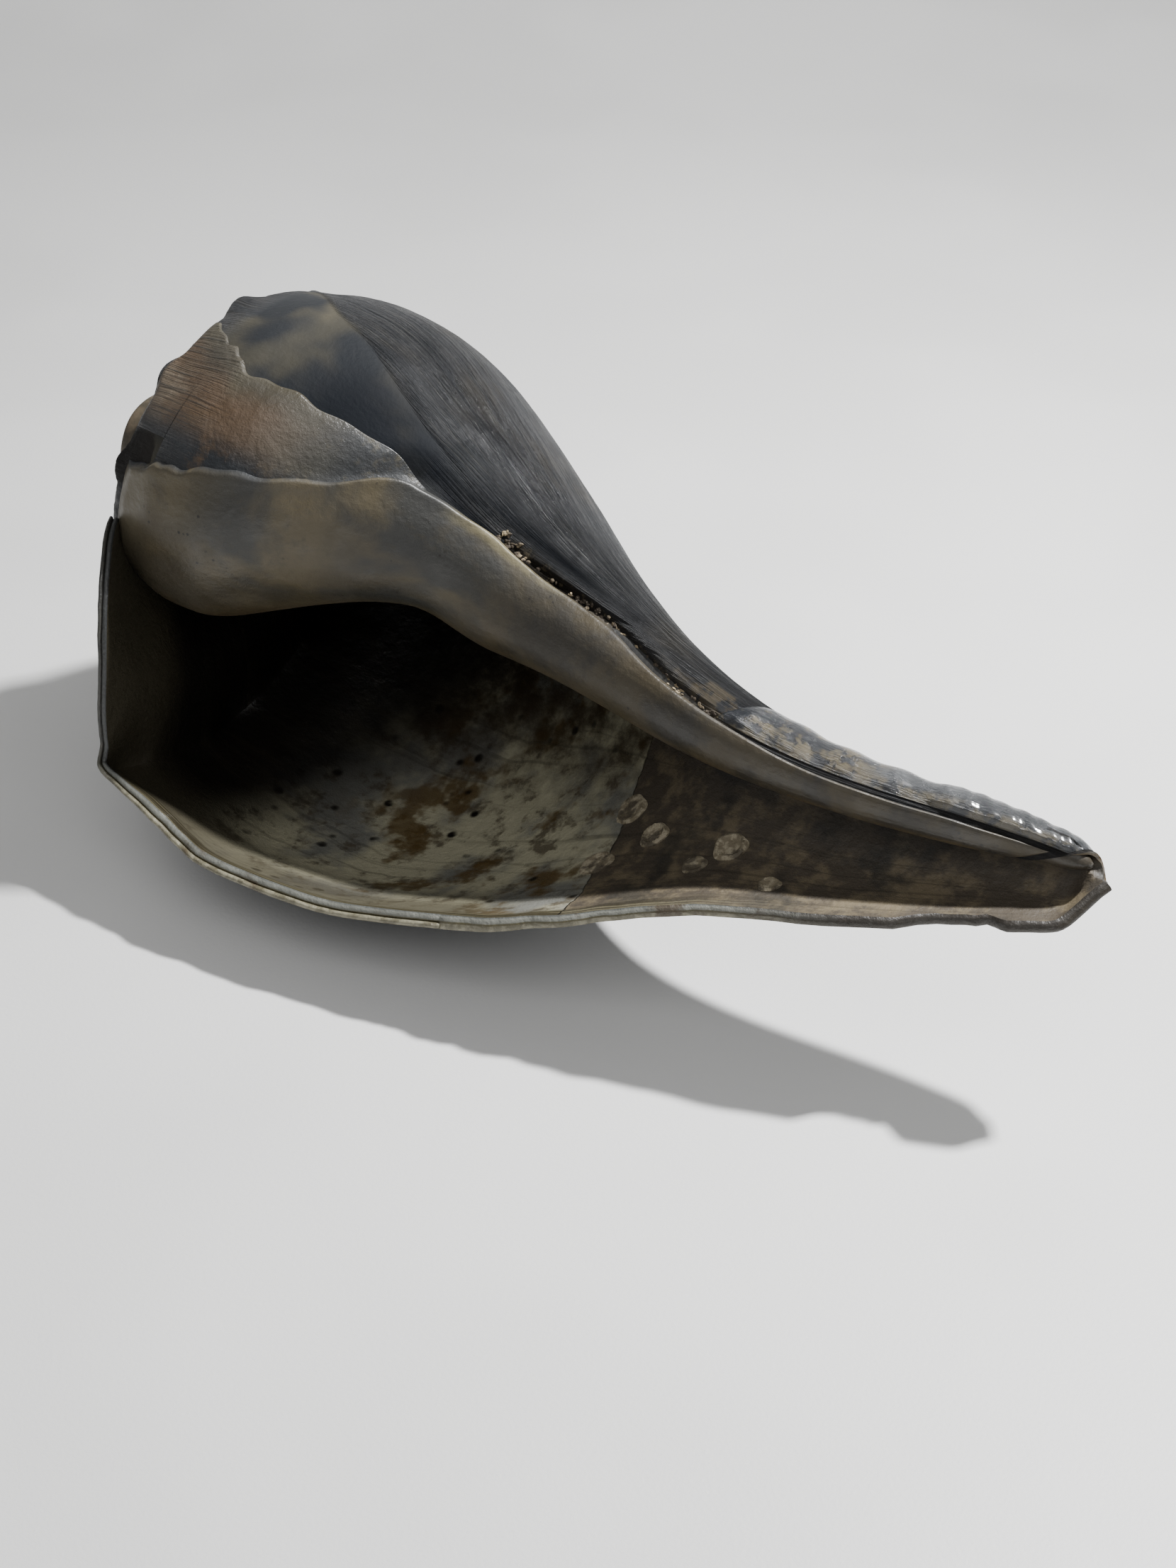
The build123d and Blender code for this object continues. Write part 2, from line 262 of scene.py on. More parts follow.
# %% Node helpers
class Tree:
    """A Geometry Nodes tree that is written as a formula."""

    def __init__(self, name, inputs):
        self.group = bpy.data.node_groups.new(name, "GeometryNodeTree")
        face = self.group.interface
        face.new_socket("Geometry", in_out="INPUT", socket_type="NodeSocketGeometry")
        for label, (kind, value) in inputs.items():
            socket = face.new_socket(label, in_out="INPUT", socket_type=f"NodeSocket{kind}")
            if value is not None:
                socket.default_value = value
        face.new_socket("Geometry", in_out="OUTPUT", socket_type="NodeSocketGeometry")
        self.input = self.group.nodes.new("NodeGroupInput")
        self.output = self.group.nodes.new("NodeGroupOutput")

    def node(self, kind, **settings):
        made = self.group.nodes.new(kind)
        for key, value in settings.items():
            setattr(made, key, value)
        return made

    def wire(self, value, socket):
        if isinstance(value, bpy.types.NodeSocket):
            self.group.links.new(value, socket)
        else:
            socket.default_value = value

    def math(self, operation, *values):
        made = self.node("ShaderNodeMath", operation=operation)
        for value, socket in zip(values, made.inputs):
            self.wire(value, socket)
        return made.outputs[0]

    def vector(self, operation, *values):
        made = self.node("ShaderNodeVectorMath", operation=operation)
        for value, socket in zip(values, made.inputs):
            self.wire(value, socket)
        return made.outputs[0]

    def scaled(self, vector, factor):
        made = self.node("ShaderNodeVectorMath", operation="SCALE")
        self.wire(vector, made.inputs[0])
        self.wire(factor, made.inputs["Scale"])
        return made.outputs[0]

    def attribute(self, name):
        made = self.node("GeometryNodeInputNamedAttribute", data_type="FLOAT")
        made.inputs["Name"].default_value = name
        return made.outputs["Attribute"]

    def combine(self, x, y, z):
        made = self.node("ShaderNodeCombineXYZ")
        for value, socket in zip((x, y, z), made.inputs):
            self.wire(value, socket)
        return made.outputs[0]

    def noise(self, vector, scale, detail=3.0, roughness=0.55):
        made = self.node("ShaderNodeTexNoise")
        self.wire(vector, made.inputs["Vector"])
        self.wire(scale, made.inputs["Scale"])
        self.wire(detail, made.inputs["Detail"])
        self.wire(roughness, made.inputs["Roughness"])
        return self.math("SUBTRACT", made.outputs[0], 0.5)

    def finish(self, geometry):
        """Realize Instances and Set Material, then out."""
        realize = self.node("GeometryNodeRealizeInstances")
        self.wire(geometry, realize.inputs[0])
        paint = self.node("GeometryNodeSetMaterial")
        self.wire(realize.outputs[0], paint.inputs["Geometry"])
        self.wire(self.input.outputs["Finish"], paint.inputs["Material"])
        self.wire(paint.outputs[0], self.output.inputs[0])


def run_tree(tree, mesh, name, **values):
    """Runs a tree on a mesh with named input values and gives back the plain mesh it makes."""
    carrier = bpy.data.objects.new(name + "_carrier", mesh)
    bpy.context.scene.collection.objects.link(carrier)
    modifier = carrier.modifiers.new(name, "NODES")
    modifier.node_group = tree.group
    for item in tree.group.interface.items_tree:
        key = item.name.replace(" ", "_").lower()
        if item.in_out == "INPUT" and key in values:
            modifier[item.identifier] = values[key]
    bpy.context.view_layer.update()
    depsgraph = bpy.context.evaluated_depsgraph_get()
    plain = bpy.data.meshes.new_from_object(
        carrier.evaluated_get(depsgraph), preserve_all_data_layers=True, depsgraph=depsgraph)
    bpy.data.objects.remove(carrier)
    plain.name = name
    return plain


def add_object(name, mesh):
    made = bpy.data.objects.new(name, mesh)
    bpy.context.scene.collection.objects.link(made)
    return made


def set_attribute(mesh, name, values):
    layer = mesh.attributes.get(name) or mesh.attributes.new(name, "FLOAT", "POINT")
    layer.data.foreach_set("value", np.asarray(values, np.float32).ravel())


def get_attribute(mesh, name):
    values = np.zeros(len(mesh.vertices), np.float32)
    mesh.attributes[name].data.foreach_get("value", values)
    return values


def coordinates(mesh):
    values = np.zeros(len(mesh.vertices) * 3)
    mesh.vertices.foreach_get("co", values)
    return values.reshape(-1, 3)


def mesh_from(name, points, faces):
    mesh = bpy.data.meshes.new(name)
    mesh.from_pydata(np.asarray(points).tolist(), [], np.asarray(faces).tolist())
    mesh.update()
    return mesh


def smooth(mesh):
    mesh.polygons.foreach_set("use_smooth", [True] * len(mesh.polygons))
    return mesh


def grid_faces(rows, columns):
    index = np.arange(rows * columns).reshape(rows, columns)
    corners = [index[:-1, :-1], index[1:, :-1], index[1:, 1:], index[:-1, 1:]]
    return np.stack(corners, -1).reshape(-1, 4)


def border_of_grid(rows, columns):
    """The numbers of a grid's border points, in order round it."""
    index = np.arange(rows * columns).reshape(rows, columns)
    return np.concatenate([index[0, :-1], index[:-1, -1], index[-1, :0:-1], index[:0:-1, 0]])


def loop_faces(rows, around):
    """Faces of a grid that is closed both ways, as on a ring or a hollow tube."""
    index = np.arange(rows * around).reshape(rows, around)
    below = np.roll(index, -1, axis=0)
    faces = np.stack([index, np.roll(index, -1, 1), np.roll(below, -1, 1), below], -1)
    return faces.reshape(-1, 4)


def enclosed(points, faces):
    """The volume inside the faces, which is negative when they point inwards."""
    a, b, c, d = (points[faces[:, i]] for i in range(4))
    return float(np.sum(a * np.cross(b, c)) + np.sum(a * np.cross(c, d))) / 6


def turned_out(points, faces):
    return faces[:, ::-1] if enclosed(points, faces) < 0 else faces

# %% [markdown]
# ## The growth rule as a tree
#
# The flat sheet that goes in has one row for each growth stage and one column for each station of
# the lip. Every vertex carries the lip's size there. The tree applies the rule of growth: scale
# by the expansion to the power of the turns grown, turn round the axis, lean on the pillar where
# the wall meets it, bow the neck, and lay the shell down in its resting pose.

# %% The growth tree
def growth_tree():
    tree = Tree("whelk_growth", {
        "Expansion": ("Float", EXPANSION),
        "Lip Angle": ("Float", LIP_ANGLE),
        "Neck Bow": ("Vector", (-BEND[0], -BEND[1], 0.0)),
        "Pitch": ("Float", math.radians(PITCH)),
        "Rest": ("Vector", tuple(REST)),
        "Finish": ("Material", None),
    })
    given = tree.input.outputs
    growth = tree.attribute("growth")
    size = tree.math("POWER", given["Expansion"], tree.math("DIVIDE", growth, 360.0))
    axial = tree.math("MULTIPLY", tree.attribute("lip_axial"),
                      tree.math("POWER", size, tree.attribute("axial_power")))
    axial = tree.math("SUBTRACT", axial, tree.attribute("spire_rise"))
    radius = tree.math("MULTIPLY", tree.attribute("lip_radius"),
                       tree.math("POWER", size, tree.attribute("radial_power")))
    fourth = tree.math("ADD", tree.math("POWER", radius, 4.0),
                       tree.math("POWER", tree.attribute("pillar"), 4.0))
    radius = tree.math("ADD", tree.math("POWER", fourth, 0.25), tree.attribute("radial_push"))
    axial = tree.math("ADD", axial, tree.attribute("axial_push"))
    along_neck = tree.math("DIVIDE", tree.math("SUBTRACT", axial, BEND_START),
                           BEND_END - BEND_START)
    along_neck = tree.math("MINIMUM", tree.math("MAXIMUM", along_neck, 0.0), 1.0)
    bow = tree.math("POWER", tree.math("SINE", tree.math("MULTIPLY", along_neck, math.pi)), 2.0)
    angle = tree.math("RADIANS", tree.math("SUBTRACT", given["Lip Angle"], growth))
    split = tree.node("ShaderNodeSeparateXYZ")
    tree.wire(tree.scaled(given["Neck Bow"], bow), split.inputs[0])
    across = tree.math("MULTIPLY_ADD", radius, tree.math("COSINE", angle), split.outputs[0])
    upward = tree.math("MULTIPLY_ADD", radius, tree.math("SINE", angle), split.outputs[1])
    grown = tree.scaled(tree.combine(axial, across, upward), MM)
    turn = tree.node("ShaderNodeVectorRotate", rotation_type="Y_AXIS")
    tree.wire(grown, turn.inputs["Vector"])
    tree.wire(given["Pitch"], turn.inputs["Angle"])
    placed = tree.vector("ADD", turn.outputs[0], given["Rest"])
    move = tree.node("GeometryNodeSetPosition")
    tree.wire(given["Geometry"], move.inputs["Geometry"])
    tree.wire(placed, move.inputs["Position"])
    tree.finish(move.outputs[0])
    return tree


GROWTH = growth_tree()

# %% [markdown]
# ## Growing a sheet of wall
#
# A sheet is sampled on a grid of growth angles and stations. Stations crowd towards the shoulder,
# where the keel and its knobs need them, and a little towards the tip. The knobs and the sinking
# of the suture on to the older whorl are pushes on top of the plain rule.

# %% Grow sheets
def shoulder_stations(s_low, s_high, count):
    """Stations that are closest together round the shoulder keel and the canal's tip."""
    fine = np.linspace(s_low, s_high, 4000)
    density = 1 + 3.0 * band(fine, 0.11, 0.09) + 1.5 * band(fine, 0.97, 0.05)
    return spaced(fine, density, count + 1)


def ridge_push(growth, s):
    """The worn ridges of the outer layer, and the groove between them and the glaze."""
    along = ease((s - 0.40) / 0.14) * ease((0.82 - s) / 0.08)
    edge = callus_border(s)
    ridge = 1.6 * band(growth, edge + 17, 8.0) + 0.9 * band(growth, edge + 38, 7.0)
    groove = -1.5 * band(growth, edge + 3, 5.0)
    return along * (ridge + groove)


def grow_sheet(name, growth, s, push=None):
    """Runs the growth tree on a grid; growth and s are 2D arrays, rows growing older."""
    rows, columns = growth.shape
    flat = np.stack([growth.ravel(), s.ravel() * 100, np.zeros(growth.size)], -1)
    mesh = mesh_from(name, flat, grid_faces(rows, columns))
    knob = knob_height(growth, s)
    near_suture = np.maximum(1 - s / SHOULDER, 0) ** 2
    radial = near_suture * suture_push(growth[:, 0])[:, None] + KNOB_OUTWARD * knob
    radial = radial + ridge_push(growth, s)
    if push is not None:
        radial = radial + push
    axial = wall_axial(growth, s)
    axial_push = np.maximum(axial - KNOB_APEXWARD * knob, GRIND_PLANE) - axial
    carried = {
        "growth": growth, "lip_axial": lip_axial(s), "lip_radius": lip_radius(s),
        "axial_power": axial_power(s), "radial_power": radial_power(s),
        "pillar": pillar_radius(axial), "spire_rise": spire_rise(growth),
        "radial_push": radial, "axial_push": axial_push,
    }
    for label, values in carried.items():
        set_attribute(mesh, label, values)
    grown = run_tree(GROWTH, mesh, name)
    return coordinates(grown).reshape(rows, columns, 3)


def grid_normals(points, outward_from):
    """Unit normals of a grid of points, turned away from a line of points down the middle."""
    along = np.gradient(points, axis=1)
    round_way = np.gradient(points, axis=0)
    normals = np.cross(along, round_way)
    normals /= np.maximum(np.linalg.norm(normals, axis=-1, keepdims=True), 1e-12)
    if np.sum(normals * (points - outward_from)) < 0:
        normals = -normals
    return normals


def axis_points(x):
    """Points of the bowed coiling axis at the given axial places, in metres."""
    bow = np.sin(np.pi * np.clip((x - BEND_START) / (BEND_END - BEND_START), 0, 1)) ** 2
    local = np.stack([x, -BEND[0] * bow, -BEND[1] * bow], -1) * MM
    return local @ np.array(TILT).T + np.array(REST)

# %% [markdown]
# ## What is where on the shell
#
# Growth angle and station say where a point is on the shell, as a map's lines do. Each finish
# gets a mask made from them: the oldest glaze up to its line of growth, the dark band beside it,
# the crust in the groove, the broken patch near the suture, the worn ridges, the canal inside.

# %% Masks
def zone_masks(growth, station, side):
    outside = ease((0.5 - side) * 8)
    inside = 1 - outside
    old_glaze = ease((oldest_border(station) - growth) / 2.5) * outside
    old_glaze = old_glaze * ease((0.56 - station) / 0.08) * ease((station - 0.14) / 0.06)
    dark = np.maximum(band(growth, -240 + 13 * ease((station - 0.46) / 0.18), 8.5),
                      band(growth, oldest_border(station) - 8, 8.0))
    dark = dark * ease((station - 0.33) / 0.09) * ease((0.74 - station) / 0.1) * outside
    edge = callus_border(station)
    crust = band(growth, edge + 3, 6.5) * ease((station - 0.56) / 0.05)
    crust = crust * ease((0.80 - station) / 0.03) * outside
    tan_crust = band(growth, -250, 26) * band(station, 0.81, 0.05) * outside
    broken = band(growth, -290, 11) * ease((0.225 - station) / 0.04) * outside
    canal = ease((station - 0.625) / 0.04) * inside
    ridges = band(growth, -202, 16) * band(station, 0.52, 0.13) * outside
    return {
        "old_glaze": old_glaze, "dark_band": dark, "crust_mask": crust,
        "tan_crust": tan_crust, "broken_mask": broken, "ridge_mask": ridges,
        "canal_mask": canal,
        "lines_weight": outside * (1 - 0.85 * old_glaze) * (0.8 + 2.6 * ridges) + 0.10 * inside,
        "crust_weight": np.minimum(crust + 0.8 * tan_crust + 1.2 * broken, 1.0),
        "dent_weight": 0.35 + 0.7 * tan_crust,
    }


def add_masks(mesh):
    masks = zone_masks(get_attribute(mesh, "growth"), get_attribute(mesh, "station"),
                       get_attribute(mesh, "side"))
    for name, values in masks.items():
        set_attribute(mesh, name, values)

# %% [markdown]
# ## Weathering as a second tree
#
# The outer layer carries fine growth lines, each an old edge of the lip, so their noise is
# stretched along the lip and tight across it. Crust and dents are rounder noise. Each kind of
# relief has its own weight on the mesh, so one tree serves the outside and the inside.

# %% The relief tree
def relief_tree():
    tree = Tree("shell_relief", {
        "Growth Line Height": ("Float", 0.55),
        "Crust Height": ("Float", 1.3),
        "Dent Height": ("Float", 0.9),
        "Grain": ("Float", 1.0),
        "Finish": ("Material", None),
    })
    given = tree.input.outputs
    growth, station = tree.attribute("growth"), tree.attribute("station")
    position = tree.node("GeometryNodeInputPosition").outputs[0]
    lines = tree.combine(tree.math("MULTIPLY", growth, 0.75),
                         tree.math("MULTIPLY", station, 5.0), 0.0)
    fine = tree.noise(lines, given["Grain"], 4.0, 0.65)
    broad = tree.noise(lines, tree.math("MULTIPLY", given["Grain"], 0.22), 2.0, 0.5)
    line_relief = tree.math("MULTIPLY", tree.math("ADD", fine, broad),
                            tree.attribute("lines_weight"))
    crust = tree.noise(position, tree.math("MULTIPLY", given["Grain"], 260.0), 5.0, 0.7)
    crust_relief = tree.math("MULTIPLY", crust, tree.attribute("crust_weight"))
    dents = tree.noise(position, tree.math("MULTIPLY", given["Grain"], 42.0), 2.0, 0.45)
    dent_relief = tree.math("MULTIPLY", dents, tree.attribute("dent_weight"))
    height = tree.math("MULTIPLY", line_relief, given["Growth Line Height"])
    height = tree.math("MULTIPLY_ADD", crust_relief, given["Crust Height"], height)
    height = tree.math("MULTIPLY_ADD", dent_relief, given["Dent Height"], height)
    normal = tree.node("GeometryNodeInputNormal").outputs[0]
    offset = tree.scaled(normal, tree.math("MULTIPLY", height, MM))
    move = tree.node("GeometryNodeSetPosition")
    tree.wire(given["Geometry"], move.inputs["Geometry"])
    tree.wire(offset, move.inputs["Offset"])
    tree.finish(move.outputs[0])
    return tree


RELIEF = relief_tree()


def weather(name, points, growth, station, side):
    """Runs the relief tree on a grid of points and gives the grid back."""
    rows, columns = growth.shape
    mesh = mesh_from(name, points.reshape(-1, 3), grid_faces(rows, columns))
    set_attribute(mesh, "growth", growth)
    set_attribute(mesh, "station", station)
    set_attribute(mesh, "side", np.full(growth.size, side))
    add_masks(mesh)
    return coordinates(run_tree(RELIEF, mesh, name)).reshape(rows, columns, 3)

# %% [markdown]
# ## Dressing a piece
#
# A cut piece has an outer face, an inner face and an edge, which wear different finishes. The
# faces carry a zone number, and a short tree gives each zone its material.

# %% The dressing tree
OUTER_ZONE, INNER_ZONE, EDGE_ZONE = 0, 1, 2


def dressing_tree():
    tree = Tree("shell_dressing", {
        "Outer Finish": ("Material", None),
        "Inner Finish": ("Material", None),
        "Edge Finish": ("Material", None),
    })
    given = tree.input.outputs
    realize = tree.node("GeometryNodeRealizeInstances")
    tree.wire(given["Geometry"], realize.inputs[0])
    last = realize.outputs[0]
    zone = tree.attribute("zone")
    finishes = (("Outer Finish", OUTER_ZONE), ("Inner Finish", INNER_ZONE),
                ("Edge Finish", EDGE_ZONE))
    for label, number in finishes:
        paint = tree.node("GeometryNodeSetMaterial")
        chosen = tree.math("COMPARE", zone, float(number), 0.1)
        tree.wire(last, paint.inputs["Geometry"])
        tree.wire(chosen, paint.inputs["Selection"])
        tree.wire(given[label], paint.inputs["Material"])
        last = paint.outputs[0]
    tree.wire(last, tree.output.inputs[0])
    return tree


DRESSING = dressing_tree()

# %% [markdown]
# ## A stretch of whorl, and pieces cut from it
#
# A stretch of wall is grown and weathered whole, so that neighbouring pieces meet exactly. A piece
# is then cut between two growth lines, two stations and two depths. It takes its shading normals
# from the whole stretch, so no seam shows at a cut. A free edge swells a little, as a lip does.

# %% Whorl and its pieces
EDGE_STEPS = 8


def unit(vectors):
    return vectors / np.maximum(np.linalg.norm(vectors, axis=-1, keepdims=True), 1e-12)


def strip_normals(points, faces):
    """Vertex normals that count only these faces."""
    a, b, c, d = (points[faces[:, i]] for i in range(4))
    normals = np.cross(c - a, d - b)
    total = np.zeros_like(points)
    for corner in range(4):
        np.add.at(total, faces[:, corner], normals)
    return unit(total)


class Whorl:
    """The weathered outer and inner faces of a stretch of wall, on one grid."""

    def __init__(self, name, growth, stations):
        self.growth, self.stations = growth, stations
        self.from_edge = np.radians(growth[:1] - growth) * wall_radius(growth, stations)
        plain = grow_sheet(name, growth, stations)
        centre = axis_points(wall_axial(growth, stations))
        inner = self.inner_face(plain, centre)
        self.outer = weather(name + "_outer", plain, growth, stations, 0.0)
        self.inner = weather(name + "_inner", inner, growth, stations, 1.0)
        self.outer_normals = grid_normals(self.outer, centre)
        self.inner_normals = -grid_normals(self.inner, centre)

    def inner_face(self, outer, centre):
        """One wall thickness in, but never inside the pillar and never outside the wall."""
        thickness = wall_thickness(self.growth, self.stations)[..., None] * MM
        inner = outer - grid_normals(outer, centre) * thickness
        axial = ((inner - np.array(REST)) @ np.array(TILT))[..., 0] / MM
        middle = axis_points(axial)
        reach = np.linalg.norm(inner - middle, axis=-1)
        pillar = (pillar_radius(axial) - 0.9) * MM
        outer_reach = np.linalg.norm(outer - centre, axis=-1)
        most = np.maximum(outer_reach - 0.3 * MM, reach * 0.5)
        wanted = np.minimum(np.maximum(reach, pillar), most)
        return middle + unit(inner - middle) * wanted[..., None]

    def row(self, growth):
        return int(np.argmin(np.abs(self.growth[:, self.growth.shape[1] // 2] - growth)))

    def column(self, station):
        return int(np.argmin(np.abs(self.stations[0] - station)))

    def piece(self, name, young, old, low, high, depth=(0.0, 1.0), lip=0.0, tip=0.0):
        """The wall between growths young and old, stations low and high and two depths."""
        part = (slice(self.row(young), self.row(old) + 1),
                slice(self.column(low), self.column(high) + 1))
        outer, inner = self.outer[part], self.inner[part]
        top = (outer + (inner - outer) * depth[0]).reshape(-1, 3)
        bottom = (outer + (inner - outer) * depth[1]).reshape(-1, 3)
        rows, columns = outer.shape[:2]
        count = rows * columns
        index = np.arange(count).reshape(rows, columns)
        ring = border_of_grid(rows, columns)
        push = np.zeros_like(top)
        if lip:
            push[index[0]] = unit(outer[0] - outer[1]) * lip * MM
        if tip:
            push[index[:, -1]] += unit(outer[:, -1] - outer[:, -2]) * tip * MM
        fractions = np.linspace(0, 1, EDGE_STEPS + 1)[1:-1]
        rings = [top[ring] * (1 - f) + bottom[ring] * f + push[ring] * math.sin(math.pi * f) ** 0.5
                 for f in fractions]
        points = np.concatenate([top, bottom] + rings)
        chain = [ring] + [2 * count + i * len(ring) + np.arange(len(ring))
                          for i in range(len(fractions))] + [ring + count]
        strips = [np.stack([a, np.roll(a, -1), np.roll(b, -1), b], -1)
                  for a, b in zip(chain, chain[1:])]
        groups = [grid_faces(rows, columns), grid_faces(rows, columns)[:, ::-1] + count,
                  np.concatenate(strips)]
        if enclosed(points, np.concatenate(groups)) < 0:
            groups = [faces[:, ::-1] for faces in groups]
        face_normals = [self.outer_normals[part].reshape(-1, 3),
                        np.tile(self.inner_normals[part].reshape(-1, 3), (2, 1)),
                        strip_normals(points, groups[2])]
        corner_normals = [normals[faces.ravel()] for normals, faces in zip(face_normals, groups)]
        mesh = mesh_from(name, points, np.concatenate(groups))
        smooth(mesh)
        mesh.normals_split_custom_set(np.concatenate(corner_normals).tolist())
        free = np.linalg.norm(push, axis=-1)[ring] > 0
        self.label(mesh, part, depth, ring, free, fractions, [len(faces) for faces in groups])
        return mesh

    def label(self, mesh, part, depth, ring, free, fractions, face_counts):
        """Writes growth, station, side and the zone of each face on a cut piece."""
        grids = (("growth", self.growth), ("station", self.stations),
                 ("from_edge", self.from_edge))
        for name, whole in grids:
            grid = whole[part]
            flat = grid.ravel()
            set_attribute(mesh, name, np.concatenate([flat, flat] + [flat[ring]] * len(fractions)))
        size = self.growth[part].size
        between = [np.full(len(ring), depth[0] + (depth[1] - depth[0]) * f) for f in fractions]
        ends = [np.full(size, depth[0]), np.full(size, depth[1])]
        set_attribute(mesh, "side", np.concatenate(ends + between))
        add_masks(mesh)
        zone = np.concatenate([np.full(count, number) for number, count in enumerate(face_counts)])
        strip = np.tile(np.where(free | np.roll(free, -1), EDGE_ZONE, INNER_ZONE), EDGE_STEPS)
        zone[-face_counts[2]:] = strip
        layer = mesh.attributes.new("zone", "FLOAT", "FACE")
        layer.data.foreach_set("value", zone.astype(np.float32))

# %% [markdown]
# ## The last whorl and the lip
#
# The last whorl is grown in one go, from the finished lip back to where it is hidden inside the
# aperture. Rows near the lip follow the lip's own edge: it swings forward at the suture, and a
# stretch near the canal's end is chipped away.

# %% The last whorl
LEAST_LIP_RADIUS = 14.0
LIP_SHAPED = 70.0  # degrees behind the lip over which the rows take up its edge


def lip_advance(s):
    """How far the edge stands forward of the plain lip, in millimetres."""
    chipped = ease((s - 0.862) / 0.006) * ease((0.932 - s) / 0.02)
    ragged = 0.5 + 0.28 * np.sin(s * 430) + 0.22 * np.sin(s * 1013 + 1)
    tongue = 0.8 * band(s, 0.952, 0.018)
    knob_flare = 1.2 * band(s, 0.125, 0.018)
    waves = 0.35 * np.sin(s * 70) + 0.2 * np.sin(s * 163)
    step = 0.8 * ease((s - 0.655) / 0.004) * ease((0.70 - s) / 0.03)
    return tongue + knob_flare + waves - step - chipped * (2.2 + 1.1 * ragged)


def growth_rows(count):
    """Growth angles of the rows: close together where the surface is seen best."""
    fine = np.linspace(0, LAST_WHORL_END, 3000)
    density = 1 + 1.2 * band(fine, 0, 40) + 1.3 * band(fine, -255, 60)
    return spaced(fine, density, count)


def last_whorl_grid():
    growth, stations = np.meshgrid(growth_rows(480), shoulder_stations(0, 1, 150), indexing="ij")
    swing = LIP_SWING * (1 - ease(stations / SHOULDER))
    radius = np.maximum(lip_radius(stations), LEAST_LIP_RADIUS)
    swing = swing + np.degrees(lip_advance(stations) / radius)
    return growth + swing * ease(1 + growth / LIP_SHAPED), stations


last_whorl = Whorl("last_whorl", *last_whorl_grid())
print("last whorl grid", last_whorl.growth.shape)

# %% [markdown]
# ## The older whorls
#
# Behind the aperture the wall winds on inwards for another turn. It shows only at the spire,
# where each whorl stands on the one before, so a coarser grid is enough.

# %% Older whorls
def older_whorl_grid():
    rows = np.linspace(LAST_WHORL_END, OLDEST, 200)
    ends = np.array([wall_end(angle) for angle in rows])
    fractions = shoulder_stations(0, 0.6, 70) / 0.6
    growth = np.repeat(rows[:, None], len(fractions), 1)
    return growth, fractions[None, :] * ends[:, None]


older_whorls = Whorl("older_whorls", *older_whorl_grid())

# %% [markdown]
# ## A small kit for finishes
#
# A finish is a Principled shader with a colour, a roughness and a bump that are worked out from
# noise and from the masks on the mesh. These helpers let a finish be read from top to bottom, as
# layers of stain laid one over the other.

# %% Finish helpers
def tone(code):
    """A colour given as six hex digits, in the linear values that shaders take."""
    values = [int(code[i:i + 2], 16) / 255 for i in (0, 2, 4)]
    linear = [v / 12.92 if v <= 0.04045 else ((v + 0.055) / 1.055) ** 2.4 for v in values]
    return (*linear, 1.0)


